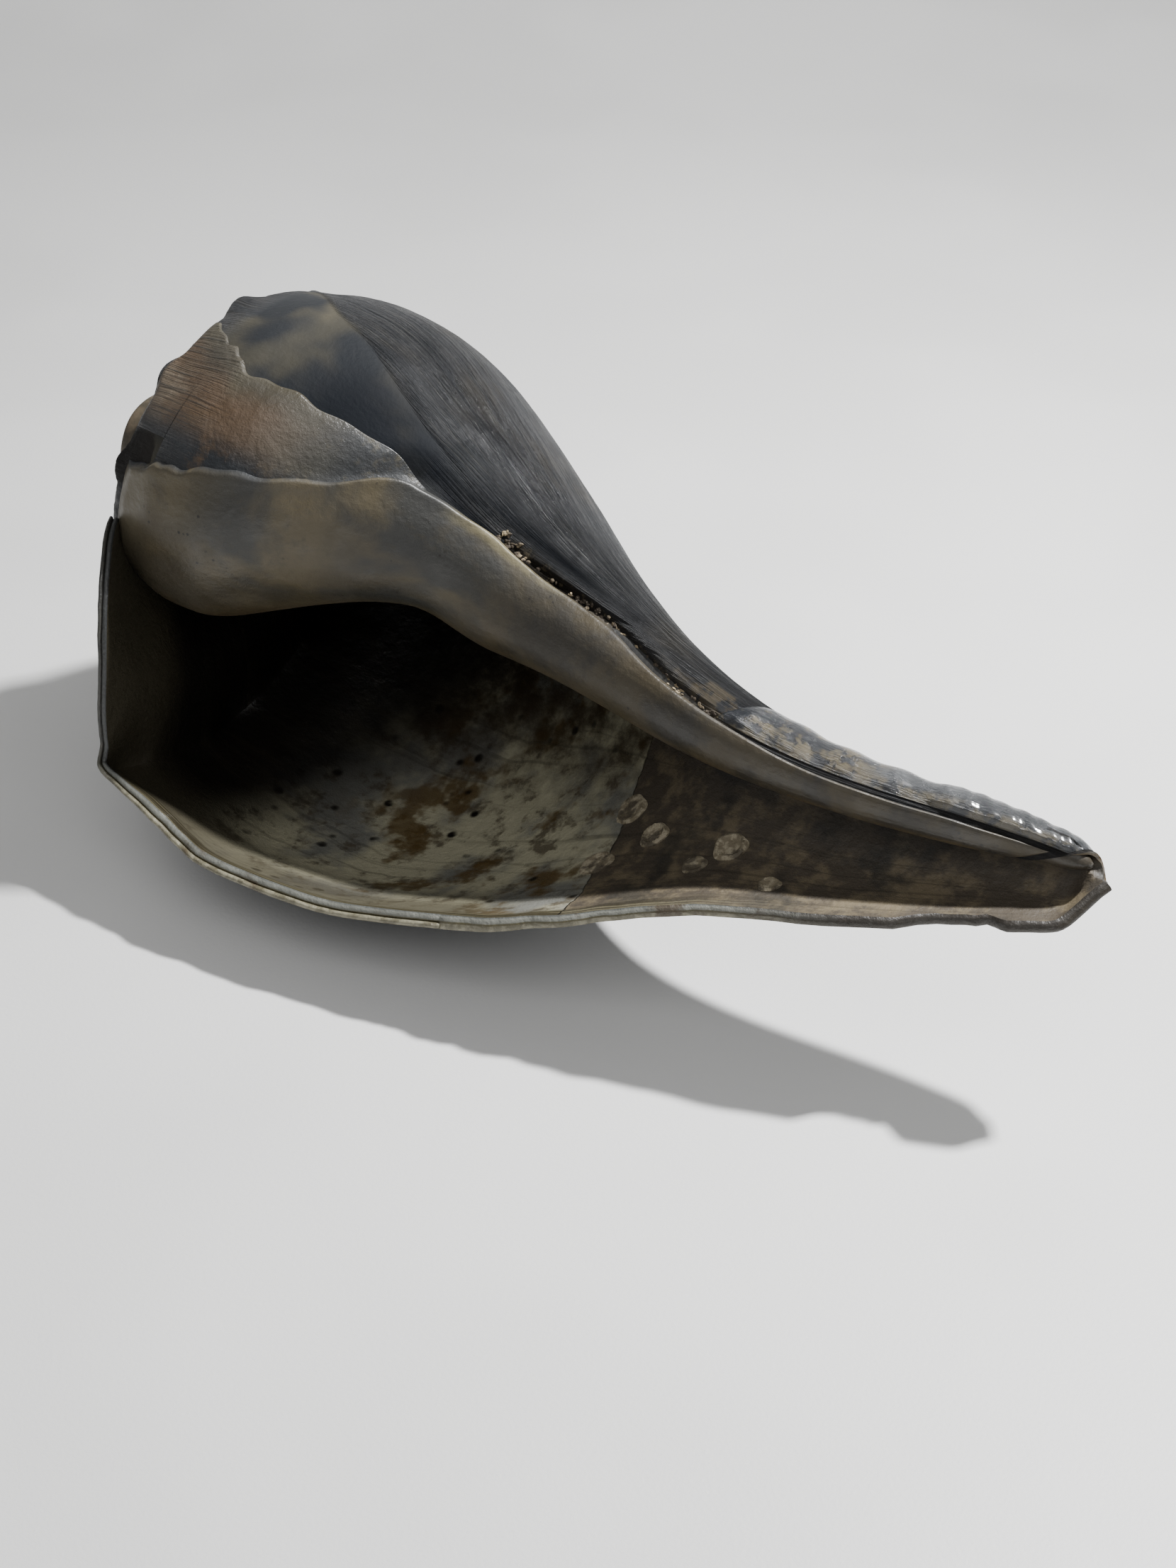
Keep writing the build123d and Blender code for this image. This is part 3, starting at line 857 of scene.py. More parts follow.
class Finish:
    """A procedural material that is written as layers."""

    def __init__(self, name, **settings):
        self.material = bpy.data.materials.new(name)
        self.material.use_nodes = True
        self.tree = self.material.node_tree
        self.shader = self.tree.nodes["Principled BSDF"]
        for socket, value in settings.items():
            self.shader.inputs[socket.replace("_", " ")].default_value = value
        self.position = self.node("ShaderNodeTexCoord").outputs["Object"]

    def node(self, kind, **settings):
        made = self.tree.nodes.new(kind)
        for key, value in settings.items():
            setattr(made, key, value)
        return made

    def wire(self, value, socket):
        if isinstance(value, bpy.types.NodeSocket):
            self.tree.links.new(value, socket)
        else:
            socket.default_value = value

    def math(self, operation, *values):
        made = self.node("ShaderNodeMath", operation=operation)
        for value, socket in zip(values, made.inputs):
            self.wire(value, socket)
        return made.outputs[0]

    def mask(self, name):
        return self.node("ShaderNodeAttribute", attribute_name=name).outputs["Fac"]

    def noise(self, scale, detail=3.0, roughness=0.55, at=None, distortion=0.0):
        made = self.node("ShaderNodeTexNoise")
        self.wire(self.position if at is None else at, made.inputs["Vector"])
        for label, value in (("Scale", scale), ("Detail", detail), ("Roughness", roughness),
                             ("Distortion", distortion)):
            self.wire(value, made.inputs[label])
        return made.outputs[0]

    def spots(self, scale):
        made = self.node("ShaderNodeTexVoronoi")
        self.wire(self.position, made.inputs["Vector"])
        made.inputs["Scale"].default_value = scale
        return made.outputs["Distance"]

    def along_lip(self, growth_scale, station_scale, wander=4.0):
        """Coordinates that run with the growth lines, with a little of the place mixed in."""
        made = self.node("ShaderNodeCombineXYZ")
        drift = self.math("MULTIPLY", self.noise(30.0), wander)
        growth = self.math("MULTIPLY", self.mask("growth"), growth_scale)
        self.wire(self.math("ADD", growth, drift), made.inputs[0])
        self.wire(self.math("MULTIPLY", self.mask("station"), station_scale), made.inputs[1])
        return made.outputs[0]

    def between(self, value, low, high, top=1.0):
        """0 below low, top above high, smooth between; low may be the larger."""
        made = self.node("ShaderNodeMapRange", interpolation_type="SMOOTHSTEP")
        for label, given in (("Value", value), ("From Min", low), ("From Max", high),
                             ("To Min", 0.0), ("To Max", top)):
            self.wire(given, made.inputs[label])
        return made.outputs[0]

    def ragged(self, mask, noise, amount, low, high):
        """A mask whose border is broken up by noise."""
        mixed = self.math("ADD", self.mask(mask), self.math("MULTIPLY", noise, amount))
        return self.between(mixed, low, high)

    def times(self, *values):
        product = values[0]
        for value in values[1:]:
            product = self.math("MULTIPLY", product, value)
        return product

    def over(self, base, layer, amount):
        made = self.node("ShaderNodeMix", data_type="RGBA")
        made.inputs[0].default_value = 0.0
        self.wire(amount, made.inputs[0])
        self.wire(base, made.inputs[6])
        self.wire(layer, made.inputs[7])
        return made.outputs[2]

    def blend(self, low, high, amount):
        made = self.node("ShaderNodeMix", data_type="FLOAT")
        self.wire(amount, made.inputs[0])
        self.wire(low, made.inputs[2])
        self.wire(high, made.inputs[3])
        return made.outputs[0]

    def done(self, colour, roughness, *heights, shine=None):
        """heights are (height, distance in metres) pairs, coarse to fine; shine is specular."""
        if shine is not None:
            self.wire(shine, self.shader.inputs["Specular IOR Level"])
        self.wire(colour, self.shader.inputs["Base Color"])
        self.wire(roughness, self.shader.inputs["Roughness"])
        normal = None
        for height, distance in heights:
            bump = self.node("ShaderNodeBump")
            bump.inputs["Distance"].default_value = distance
            self.wire(height, bump.inputs["Height"])
            if normal is not None:
                self.wire(normal, bump.inputs["Normal"])
            normal = bump.outputs[0]
        if normal is not None:
            self.wire(normal, self.shader.inputs["Normal"])
        return self.material

# %% [markdown]
# ## The weathered outer wall
#
# Buried whelks turn blue-grey as iron sulphide takes into the chalk. Each old lip edge is a dark
# streak. The oldest glaze has no raised growth lines and is a dull olive, the band beside it is
# nearly black and matt, the worn ridges are glossy, and the crust in the groove is brown.

# %% Outer wall finish
def outer_finish():
    f = Finish("weathered_wall")
    clouds = f.noise(26.0, 3.0, 0.6, distortion=0.4)
    small = f.noise(120.0, 4.0, 0.6)
    colour = f.over(tone("26272a"), tone("35322d"), f.between(clouds, 0.46, 0.66))
    colour = f.over(colour, tone("1d2024"), f.between(f.noise(38.0, 4.0, 0.6), 0.50, 0.68, 0.8))
    broad_lines = f.noise(1.0, 3.0, 0.6, f.along_lip(0.30, 2.2))
    colour = f.over(colour, tone("1d2025"), f.between(broad_lines, 0.50, 0.66, 0.75))
    fine_lines = f.noise(1.0, 5.0, 0.7, f.along_lip(1.3, 7.0, 2.0))
    colour = f.over(colour, tone("101214"), f.between(fine_lines, 0.53, 0.66, 0.75))
    colour = f.over(colour, tone("57554e"), f.between(fine_lines, 0.47, 0.36, 0.35))
    glaze = f.over(tone("2f2d26"), tone("403c30"), f.between(f.noise(30.0, 3.0), 0.42, 0.60))
    glaze = f.over(glaze, tone("14171b"), f.between(f.noise(27.0, 3.0, 0.5), 0.46, 0.58))
    glaze = f.over(glaze, tone("0e1115"), f.between(f.mask("station"), 0.36, 0.44, 0.85))
    colour = f.over(colour, glaze, f.mask("old_glaze"))
    dark = f.times(f.mask("dark_band"), f.between(f.noise(50.0), 0.25, 0.5))
    colour = f.over(colour, tone("0d1015"), dark)
    crust = f.over(tone("1c1813"), tone("5b5240"), f.between(f.noise(420.0, 4.0, 0.7), 0.5, 0.68))
    crust_cover = f.ragged("crust_mask", small, 0.8, 0.72, 0.95)
    colour = f.over(colour, crust, crust_cover)
    tan = f.over(tone("4e4534"), tone("14171c"), f.between(f.noise(110.0, 4.0, 0.7), 0.50, 0.6))
    colour = f.over(colour, tan, f.ragged("tan_crust", small, 0.8, 0.72, 0.95))
    bare = f.ragged("broken_mask", small, 0.9, 0.75, 0.95)
    colour = f.over(colour, tone("15110d"), bare)
    roughness = f.blend(0.42, 0.62, f.between(small, 0.4, 0.62))
    roughness = f.blend(roughness, 0.66, f.mask("old_glaze"))
    roughness = f.blend(roughness, 0.24, f.mask("ridge_mask"))
    roughness = f.blend(roughness, 0.8, f.math("MAXIMUM", crust_cover, bare))
    lines_height = f.times(fine_lines, f.math("SUBTRACT", 1.0, f.mask("old_glaze")))
    lines_height = f.math("MULTIPLY", lines_height, f.blend(1.0, 2.6, f.mask("ridge_mask")))
    matt = f.math("MAXIMUM", f.mask("dark_band"),
                  f.times(f.mask("old_glaze"), f.between(f.mask("station"), 0.28, 0.42)))
    shine = f.blend(f.blend(0.45, 0.07, matt), 1.0, f.mask("ridge_mask"))
    return f.done(colour, roughness, (f.times(crust_cover, f.noise(500.0, 3.0)), 0.0015),
                  (lines_height, 0.0022), (f.noise(700.0, 3.0, 0.6), 0.00012), shine=shine)


OUTER_WALL = outer_finish()

# %% [markdown]
# ## Inside the mouth
#
# Porcelain lines the mouth: grey and cream, with ochre and brown stains and fouling specks. Where
# the canal begins it ends at a flaked edge and gives way to duller brown shell. The shoulder
# corner, the depth of the mouth and the face just inside the lip carry painted shade, nearly black
# in the depth, and faint stripes run along the lip.

# %% Inner wall finish
def inner_finish():
    f = Finish("porcelain_inside")
    growth, station = f.mask("growth"), f.mask("station")
    clouds = f.noise(34.0, 4.0, 0.6)
    mottle = f.noise(110.0, 5.0, 0.7)
    colour = f.over(tone("a39f88"), tone("70706a"), f.between(clouds, 0.42, 0.6))
    colour = f.over(colour, tone("4a4234"), f.between(mottle, 0.50, 0.64, 0.8))
    ochre = f.times(f.between(f.noise(48.0, 4.0, 0.65), 0.50, 0.60, 0.85),
                    f.between(station, 0.28, 0.40))
    colour = f.over(colour, tone("52401f"), ochre)
    colour = f.over(colour, tone("3a3022"), f.times(f.between(growth, -40.0, -85.0, 0.8),
                                                    f.between(mottle, 0.30, 0.55)))
    colour = f.over(colour, tone("4c2c12"), f.times(f.between(growth, -90.0, -150.0),
                                                    f.between(f.noise(28.0), 0.42, 0.55)))
    # Painted shade: the depth of the mouth is darkened nearly to black.
    mouth_depth_shade = f.math("ADD", station, f.math("MULTIPLY", growth, 0.0028))
    colour = f.over(colour, tone("0b0a09"), f.times(f.between(mouth_depth_shade, 0.27, 0.10, 0.93),
                                                    f.between(growth, -3.0, -12.0)))
    # Painted shade: the corner under the shoulder is darkened nearly to black.
    colour = f.over(colour, tone("100d0a"), f.between(station, 0.30, 0.17, 0.9))
    specks = f.times(f.between(f.spots(150.0), 0.30, 0.14), f.between(f.noise(60.0), 0.47, 0.58))
    colour = f.over(colour, tone("15120f"), specks)
    canal = f.over(tone("443d33"), tone("655b48"), f.between(f.noise(90.0, 4.0, 0.65), 0.45, 0.62))
    canal = f.over(canal, tone("2a2824"), f.between(f.noise(48.0, 4.0, 0.6), 0.52, 0.64, 0.8))
    flaked = f.ragged("canal_mask", f.noise(75.0, 4.0, 0.6), 0.8, 0.82, 0.9)
    colour = f.over(colour, canal, flaked)
    lines = f.noise(1.0, 3.0, 0.6, f.along_lip(0.5, 2.0))
    colour = f.over(colour, tone("262219"), f.between(lines, 0.52, 0.68, 0.4))
    # Painted shade: the inner face just inside the lip, on the body side, is darkened.
    colour = f.over(colour, tone("39352a"), f.times(f.between(growth, -24.0, -9.0, 0.85),
                                                    f.between(station, 0.60, 0.50)))
    edge = f.math("ADD", f.mask("from_edge"), f.math("MULTIPLY", f.noise(60.0, 3.0), 2.4))
    stripe = f.node("ShaderNodeCombineXYZ")
    f.wire(edge, stripe.inputs[0])
    f.wire(f.math("MULTIPLY", station, 3.0), stripe.inputs[1])
    stripes = f.noise(1.1, 2.0, 0.6, stripe.outputs[0])
    lip_colour = f.over(tone("57523f"), tone("2b2619"), f.between(stripes, 0.45, 0.53))
    near_edge = f.times(f.between(edge, 8.0, 5.0), f.between(station, 0.12, 0.20),
                        f.between(station, 0.84, 0.70))
    colour = f.over(colour, lip_colour, near_edge)
    roughness = f.blend(0.38, 0.6, flaked)
    return f.done(colour, roughness, (flaked, 0.0006), (f.times(near_edge, stripes), 0.0012),
                  (mottle, 0.0008), (f.noise(900.0, 2.0), 0.00008))


INNER_WALL = inner_finish()

# %% [markdown]
# ## The cut edge of the lip
#
# The edge shows the shell's layers: cream chalk outside, then a thin greenish-brown line, then
# blue-grey porcelain. The side attribute runs from 0 outside to 1 inside, so a ramp over it draws
# the layers at their true depths.

# %% Lip edge finish
def edge_finish():
    f = Finish("lip_edge_layers")
    side = f.math("ADD", f.mask("side"), f.math("MULTIPLY", f.noise(160.0, 3.0), 0.16))
    side = f.math("SUBTRACT", side, 0.08)
    grain = f.noise(350.0, 4.0, 0.6)
    colour = f.over(tone("5b5746"), tone("7b7765"), f.between(grain, 0.4, 0.6))
    colour = f.over(colour, tone("4a452f"), f.between(side, 0.38, 0.46))
    colour = f.over(colour, tone("6c6d66"), f.between(side, 0.52, 0.62))
    colour = f.over(colour, tone("4d4f4c"), f.between(side, 0.85, 0.97))
    colour = f.over(colour, tone("3c3020"), f.between(f.noise(70.0, 4.0, 0.65), 0.55, 0.66, 0.8))
    dark_end = f.between(f.mask("station"), 0.20, 0.09, 0.85)
    colour = f.over(colour, tone("1d1f22"), dark_end)
    tip = f.between(f.mask("station"), 0.76, 0.84, 0.93)
    colour = f.over(colour, tone("211b15"), tip)
    return f.done(colour, 0.5, (grain, 0.0006))


LIP_EDGE = edge_finish()

# %% [markdown]
# ## Cut and dress the wall
#
# Each piece is a stage of growth, as in the frame. The lip is cut in two layers, and the inner
# face between lip and neck is a porcelain lining of its own.

# %% Wall pieces
LIP_ROOT = -12.0
LIP_END = 60.0
BELLY_END = -60.0
BACK_END = -140.0
CROWN_END = -250.0
CHALK_DEPTH = 0.45
LINING_DEPTH = 0.8


def settle(name, mesh, node, slot):
    """Puts a piece on the body and lets it stand for its CAD node."""
    piece = add_object(name, mesh)
    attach(piece, "root")
    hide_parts(node)


def dress(name, mesh, node, slot, edge=LIP_EDGE):
    """Gives a cut piece its three finishes and settles it."""
    plain = run_tree(DRESSING, mesh, name, outer_finish=OUTER_WALL, inner_finish=INNER_WALL,
                     edge_finish=edge)
    settle(name, plain, node, slot)


wall_pieces = {
    "front_wall": ("body_wall_front", "chalky_wall", CROWN_END, LAST_WHORL_END, 0, 1, {}),
    "crown_wall": ("body_wall_crown", "chalky_wall", BACK_END, CROWN_END, 0, NECK, {}),
    "back_wall": ("body_wall_back", "chalky_wall", BELLY_END, BACK_END, 0, NECK,
                  {"depth": (0.0, LINING_DEPTH)}),
    "belly_wall": ("body_wall_belly", "chalky_wall", LIP_ROOT, BELLY_END, 0, NECK,
                   {"depth": (0.0, LINING_DEPTH)}),
    "mouth_lining": ("porcelain_lining", "porcelain", LIP_ROOT, BACK_END, 0, NECK,
                     {"depth": (LINING_DEPTH, 1.0)}),
    "canal_top": ("canal_wall_top", "canal_lining", BACK_END, CROWN_END, NECK, 1, {}),
    "canal_back": ("canal_wall_back", "canal_lining", BELLY_END, BACK_END, NECK, 1, {}),
    "canal_base": ("canal_floor", "canal_lining", LIP_ROOT, BELLY_END, NECK, 1, {"tip": 0.6}),
    "lip_chalk_layer": ("outer_lip_chalk", "lip_chalk", LIP_END, LIP_ROOT, 0, NECK,
                        {"depth": (0.0, CHALK_DEPTH), "lip": 0.9}),
    "lip_porcelain_layer": ("outer_lip_porcelain", "porcelain", LIP_END, LIP_ROOT, 0, NECK,
                            {"depth": (CHALK_DEPTH, 1.0), "lip": 0.5}),
    "canal_lip_edge": ("canal_lip", "lip_chalk", LIP_END, LIP_ROOT, NECK, 1,
                       {"lip": 0.7, "tip": 0.6}),
}
for name, (node, slot, young, old, low, high, options) in wall_pieces.items():
    mesh = last_whorl.piece(name, young, old, low, high, **options)
    dress(name, mesh, node, slot)
    print(name, len(mesh.polygons), "faces")

older = {"inner_spire_whorl": ("spire_inner_whorl", LAST_WHORL_END, SPIRE_SPLIT),
         "early_spire_whorl": ("spire_early_whorl", SPIRE_SPLIT, OLDEST)}
for name, (node, young, old) in older.items():
    mesh = older_whorls.piece(name, young, old, 0, 1)
    dress(name, mesh, node, "chalky_wall", edge=OUTER_WALL)

# %% [markdown]
# ## Skins laid over the wall
#
# The animal's mantle lays smooth glaze over whatever the lip grows across. Each skin is grown by
# the same tree as the wall, a little further out, with a feathered and uneven border.

# %% Glaze finishes
def callus_finish():
    f = Finish("callus_glaze", Coat_Weight=0.10, Coat_Roughness=0.3)
    growth, station, inward = f.mask("growth"), f.mask("station"), f.mask("from_border")
    clouds = f.noise(24.0, 3.0, 0.55, distortion=0.3)
    mottle = f.noise(110.0, 5.0, 0.7)
    colour = f.over(tone("403a2d"), tone("504835"), f.between(clouds, 0.40, 0.62))
    blue = f.times(f.between(f.noise(21.0, 4.0, 0.6, distortion=0.5), 0.46, 0.60, 0.85),
                   f.between(station, 0.30, 0.40), f.between(growth, -350.0, -318.0))
    colour = f.over(colour, tone("282a2b"), blue)
    colour = f.over(colour, tone("3a352a"), f.between(mottle, 0.50, 0.66, 0.5))
    cream = f.times(f.between(station, 0.52, 0.58), f.between(station, 0.69, 0.65),
                    f.between(inward, 11.0, 6.0))
    colour = f.over(colour, tone("6f684f"), f.times(cream, f.between(mottle, 0.30, 0.50)))
    pale = f.times(f.between(station, 0.27, 0.21), f.between(growth, -330.0, -312.0))
    colour = f.over(colour, tone("5c5544"), f.times(pale, 0.7))
    # A dark stain along the callus border; over the neck the same darkening is painted shade that
    # dims the edge where it catches the light.
    rim_stain_and_shade = f.math("MAXIMUM",
                       f.times(f.between(inward, 5.0, 0.0), f.between(station, 0.52, 0.46)),
                       f.times(f.between(inward, 9.0, 4.0), f.between(station, 0.66, 0.69)))
    colour = f.over(colour, tone("24272b"), f.times(rim_stain_and_shade, f.between(mottle, 0.30, 0.52)))
    toward_tip = f.between(station, 0.58, 0.70)
    brown = f.over(tone("3d3627"), tone("26231e"), f.between(f.noise(60.0, 4.0, 0.6), 0.42, 0.6))
    colour = f.over(colour, brown, f.times(toward_tip, 0.85))
    low_edge = f.between(growth, -338.0, -356.0, 0.8)
    colour = f.over(colour, tone("4a3f2c"), f.times(low_edge, f.between(mottle, 0.38, 0.55)))
    # Painted shade: the callus is darkened nearly to black where it runs deep into the mouth.
    colour = f.over(colour, tone("1b140e"), f.between(growth, -364.0, -385.0))
    # Painted shade in the deep corner of the mouth by the suture.
    near_suture = f.between(station, 0.26, 0.18)
    colour = f.over(colour, tone("1d1a17"), f.times(near_suture, f.between(growth, -325.0, -345.0)))
    specks = f.times(f.between(f.spots(420.0), 0.22, 0.10), f.between(f.noise(90.0), 0.54, 0.62))
    colour = f.over(colour, tone("1b1712"), specks)
    roughness = f.blend(0.42, 0.60, f.between(f.noise(70.0, 4.0), 0.4, 0.6))
    return f.done(colour, roughness, (f.noise(60.0, 3.0), 0.0009),
                  (f.noise(600.0, 4.0, 0.65), 0.00022))


def older_callus_finish():
    f = Finish("older_glaze", Coat_Weight=0.12, Coat_Roughness=0.3)
    growth, station, inward = f.mask("growth"), f.mask("station"), f.mask("from_border")
    mottle = f.noise(110.0, 5.0, 0.7)
    colour = f.over(tone("3c382f"), tone("474233"), f.between(f.noise(34.0, 3.0), 0.42, 0.60))
    warm = f.times(f.between(f.noise(26.0, 2.0), 0.34, 0.50), f.between(station, 0.44, 0.34),
                   f.between(inward, 3.0, 12.0))
    colour = f.over(colour, tone("4a3a2a"), f.times(warm, 0.9))
    pale = f.times(f.between(f.noise(40.0, 3.0), 0.46, 0.60), f.between(station, 0.34, 0.24))
    colour = f.over(colour, tone("665d4f"), f.times(pale, 0.6))
    ridge = f.times(f.between(inward, 3.2, 1.4), f.between(station, 0.24, 0.34))
    colour = f.over(colour, tone("3f3b30"), f.times(ridge, 0.7))
    fold = f.times(f.between(growth, -268.0, -279.0), f.between(mottle, 0.28, 0.50))
    colour = f.over(colour, tone("1f2226"), fold)
    right_end = f.between(station, 0.40, 0.46)
    colour = f.over(colour, tone("25282c"), f.times(right_end, f.between(mottle, 0.32, 0.5), 0.9))
    wrinkles = f.noise(1.0, 4.0, 0.6, f.along_lip(1.1, 4.0))
    left = f.between(station, 0.34, 0.22)
    colour = f.over(colour, tone("2b2925"), f.times(left, f.between(wrinkles, 0.53, 0.64, 0.7)))
    roughness = f.blend(0.34, 0.55, f.between(f.noise(160.0, 4.0), 0.4, 0.6))
    return f.done(colour, roughness, (f.noise(60.0, 3.0), 0.0009),
                  (f.times(left, wrinkles), 0.0014), (f.noise(600.0, 4.0, 0.65), 0.00035))


CALLUS_GLAZE = callus_finish()
OLDER_GLAZE = older_callus_finish()


# %% [markdown]
# ## Skins
#
# A skin is a closed sheet on the wall. Its underside sinks into the wall a little, its top is
# lifted, and a narrow band of faces joins the two at the border.

# %% Skins
SKIN_START = 0.10  # lift at the border
SKIN_SINK = 0.25


def line_at(line, station):
    return line(station) if callable(line) else np.full_like(station, line)


def skin_mesh(name, young, old, low, high, lift, rows, columns):
    """A closed skin between two lines of growth and two stations."""
    v, u = np.meshgrid(np.linspace(0, 1, rows), np.linspace(0, 1, columns), indexing="ij")
    station = low + (high - low) * u
    wander = 0.9 * np.sin(station * 57) + 0.5 * np.sin(station * 131 + 2)
    young_line = line_at(young, station) + wander
    growth = young_line + (line_at(old, station) - young_line) * v
    edge = np.minimum(np.minimum(v / 0.030, (1 - v) / 0.05), np.minimum(u / 0.03, (1 - u) / 0.05))
    push = SKIN_START + lift(growth, station) * ease(edge) ** 0.7
    top = grow_sheet(name + "_top", growth, station, push=push)
    bottom = grow_sheet(name + "_bottom", growth, station, push=np.full_like(push, -SKIN_SINK))
    count = growth.size
    ring = border_of_grid(rows, columns)
    after = np.roll(ring, -1)
    faces = np.concatenate([grid_faces(rows, columns), grid_faces(rows, columns)[:, ::-1] + count,
                            np.stack([ring, after, after + count, ring + count], -1)])
    points = np.concatenate([top.reshape(-1, 3), bottom.reshape(-1, 3)])
    mesh = mesh_from(name, points, turned_out(points, faces))
    labels = {"growth": growth, "station": station, "from_border": young_line - growth,
              "side": 0 * growth, "lines_weight": 0.12 + 0 * growth,
              "crust_weight": 0 * growth, "dent_weight": 0.4 + 0 * growth}
    for label, grid in labels.items():
        set_attribute(mesh, label, np.tile(grid.ravel(), 2))
    return mesh


def skin_piece(name, node, slot, finish, *shape, **options):
    mesh = smooth(run_tree(RELIEF, skin_mesh(name, *shape, **options), name, finish=finish))
    print(name, len(mesh.polygons), "faces")
    settle(name, mesh, node, slot)


def callus_lift(growth, station):
    """Thickness of the callus: full over the shoulder, thin on the neck."""
    thick = 0.95 + 0.2 * np.sin(growth * 0.11 + station * 9)
    thin_neck = 0.35 + 0.65 * ease((0.80 - station) / 0.2)
    raised = 0.7 * band(growth, callus_border(station) - 3, 4.0) * ease((0.66 - station) / 0.08)
    return thick * thin_neck + raised


skin_piece("callus_sheet", "parietal_callus", "callus", CALLUS_GLAZE,
           callus_border, -396.0, 0.155, 0.985, callus_lift, rows=230, columns=260)


def under_callus(station):
    """The near edge of the older glaze: under the callus, or broken off near the suture."""
    return np.where(station < 0.225, -279.0, callus_border(station) - 5)


skin_piece("older_callus_sheet", "earlier_callus", "callus", OLDER_GLAZE,
           older_border, under_callus, 0.13, 0.505,
           lambda growth, station: 0.6 + 0.25 * band(growth, older_border(station) - 3, 4.0),
           rows=110, columns=150)

# %% [markdown]
# ## The fasciole
#
# On top of the canal the old canal ends were glazed over one after the other. The skin there is
# rough and patchy at first and ends in a smooth, wet-looking swelling with fine wrinkles and a
# short slit.

# %% Fasciole
SWELLING_START = 222.0


def fasciole_finish():
    f = Finish("fasciole_glaze", Coat_Weight=0.5, Coat_Roughness=0.12)
    wrinkles = f.noise(1.0, 4.0, 0.6, f.along_lip(0.25, 110.0))
    swelling = f.between(f.mask("station"), 0.845, 0.862)
    colour = f.over(tone("36383a"), tone("4c4e50"), f.between(f.noise(90.0, 3.0), 0.42, 0.6))
    colour = f.over(colour, tone("22252a"), f.between(wrinkles, 0.54, 0.66, 0.8))
    patchy = f.over(tone("514a39"), tone("16191e"),
                    f.between(f.noise(110.0, 4.0, 0.65), 0.46, 0.56))
    colour = f.over(patchy, colour, swelling)
    older = f.between(f.mask("growth"), -236.0, -256.0)
    colour = f.over(colour, patchy, f.times(older, 0.8))
    # Painted shade: the slit is painted near black.
    slit = f.times(f.between(f.mask("station"), 0.955, 0.962),
                   f.between(f.mask("growth"), -222, -228),
                   f.between(f.mask("growth"), -238, -232))
    colour = f.over(colour, tone("0c0b0a"), slit)
    roughness = f.blend(0.16, 0.40, f.between(f.noise(160.0, 4.0), 0.4, 0.6))
    return f.done(colour, roughness, (f.noise(120.0, 2.0), 0.0006), (wrinkles, 0.0008))


def fasciole_lift(growth, station):
    x = wall_axial(growth, station)
    swelling = ease((x - SWELLING_START) / 7) * ease((264 - x) / 10)
    wrinkles = 0.10 * np.sin(x * 1.3 + growth * 0.10) + 0.08 * np.sin(x * 0.6 - growth * 0.03)
    rough = (0.35 + 0.25 * np.sin(x * 0.5 + 1)) * (1 - swelling)
    round_way = ease((growth + 272) / 16) * ease((-150 - growth) / 25)
    slit = 1.3 * band(growth, -230, 5) * ease((x - 256) / 1.5)
    return (0.15 + (1.25 + wrinkles) * swelling + rough) * round_way - slit * swelling


skin_piece("fasciole_skin", "siphonal_fasciole", "fasciole", fasciole_finish(),
           -150.0, -272.0, 0.795, 0.995, fasciole_lift, rows=150, columns=190)

# %% [markdown]
# ## The pillar
#
# The whorls wind round a pillar that swells in the neck and bows with it. It is skinned from
# rings: a full bar at the top, and a core under a skin of its own in the neck.

# %% Pillar
PILLAR_SPLIT = 120.0
PILLAR_TIP = 262.0
PILLAR_SKIN = 2.2
PILLAR_TOP = -3.0
PILLAR_JOINT = 0.2  # between the upper part and the neck
PILLAR_SLACK = 0.45  # how much the pillar is thinner than the radius that holds the walls off
TIP_ROUNDS = 254.0
TIP_LENGTH = 8.2
PILLAR_AROUND = 72


def pillar_rings(x, radius):
    turn = np.linspace(0, 2 * np.pi, PILLAR_AROUND, endpoint=False)
    ring = np.stack([np.zeros_like(turn), np.cos(turn), np.sin(turn)], -1) @ np.array(TILT).T
    return axis_points(x)[:, None] + ring[None] * np.asarray(radius)[:, None, None] * MM


def tube_mesh(name, x, outer_radius, inner_radius):
    """A closed tube: out along the outer rings and back along the inner ones."""
    path_x = np.concatenate([x, x[::-1]])
    path_radius = np.concatenate([outer_radius, inner_radius[::-1]])
    rings = pillar_rings(path_x, path_radius)
    points = rings.reshape(-1, 3)
    faces = loop_faces(len(path_x), PILLAR_AROUND)
    return smooth(mesh_from(name, points, turned_out(points, faces)))


def pillar_finish():
    f = Finish("pillar_porcelain")
    colour = f.over(tone("3d382f"), tone("2f2a22"), f.between(f.noise(60.0, 4.0), 0.42, 0.6))
    colour = f.over(colour, tone("252524"), f.between(f.noise(30.0, 3.0), 0.5, 0.62))
    return f.done(colour, 0.4, (f.noise(300.0, 4.0), 0.0004))


PILLAR = pillar_finish()
upper_x = np.linspace(PILLAR_TOP, PILLAR_SPLIT, 60)
neck_x = np.linspace(PILLAR_SPLIT + PILLAR_JOINT, PILLAR_TIP, 110)
upper_radius = pillar_radius(upper_x) - PILLAR_SLACK
rounding = 1 - np.clip((neck_x - TIP_ROUNDS) / TIP_LENGTH, 0, 1) ** 2
skin_radius = (pillar_radius(neck_x) - PILLAR_SLACK) * np.sqrt(np.clip(rounding, 0.05, 1))
core_radius = np.maximum(skin_radius - PILLAR_SKIN, 0.5)
pillar_parts = {
    "pillar_top": ("columella_upper", upper_x, upper_radius, np.full_like(upper_x, 0.4)),
    "pillar_core": ("columella_core", neck_x, core_radius - 0.1, np.full_like(neck_x, 0.3)),
    "pillar_skin": ("columellar_lip", neck_x, skin_radius, core_radius),
}
for name, (node, x, outside_radius, inside_radius) in pillar_parts.items():
    mesh = tube_mesh(name, x, outside_radius, inside_radius)
    mesh.materials.append(PILLAR)
    settle(name, mesh, node, "pillar")
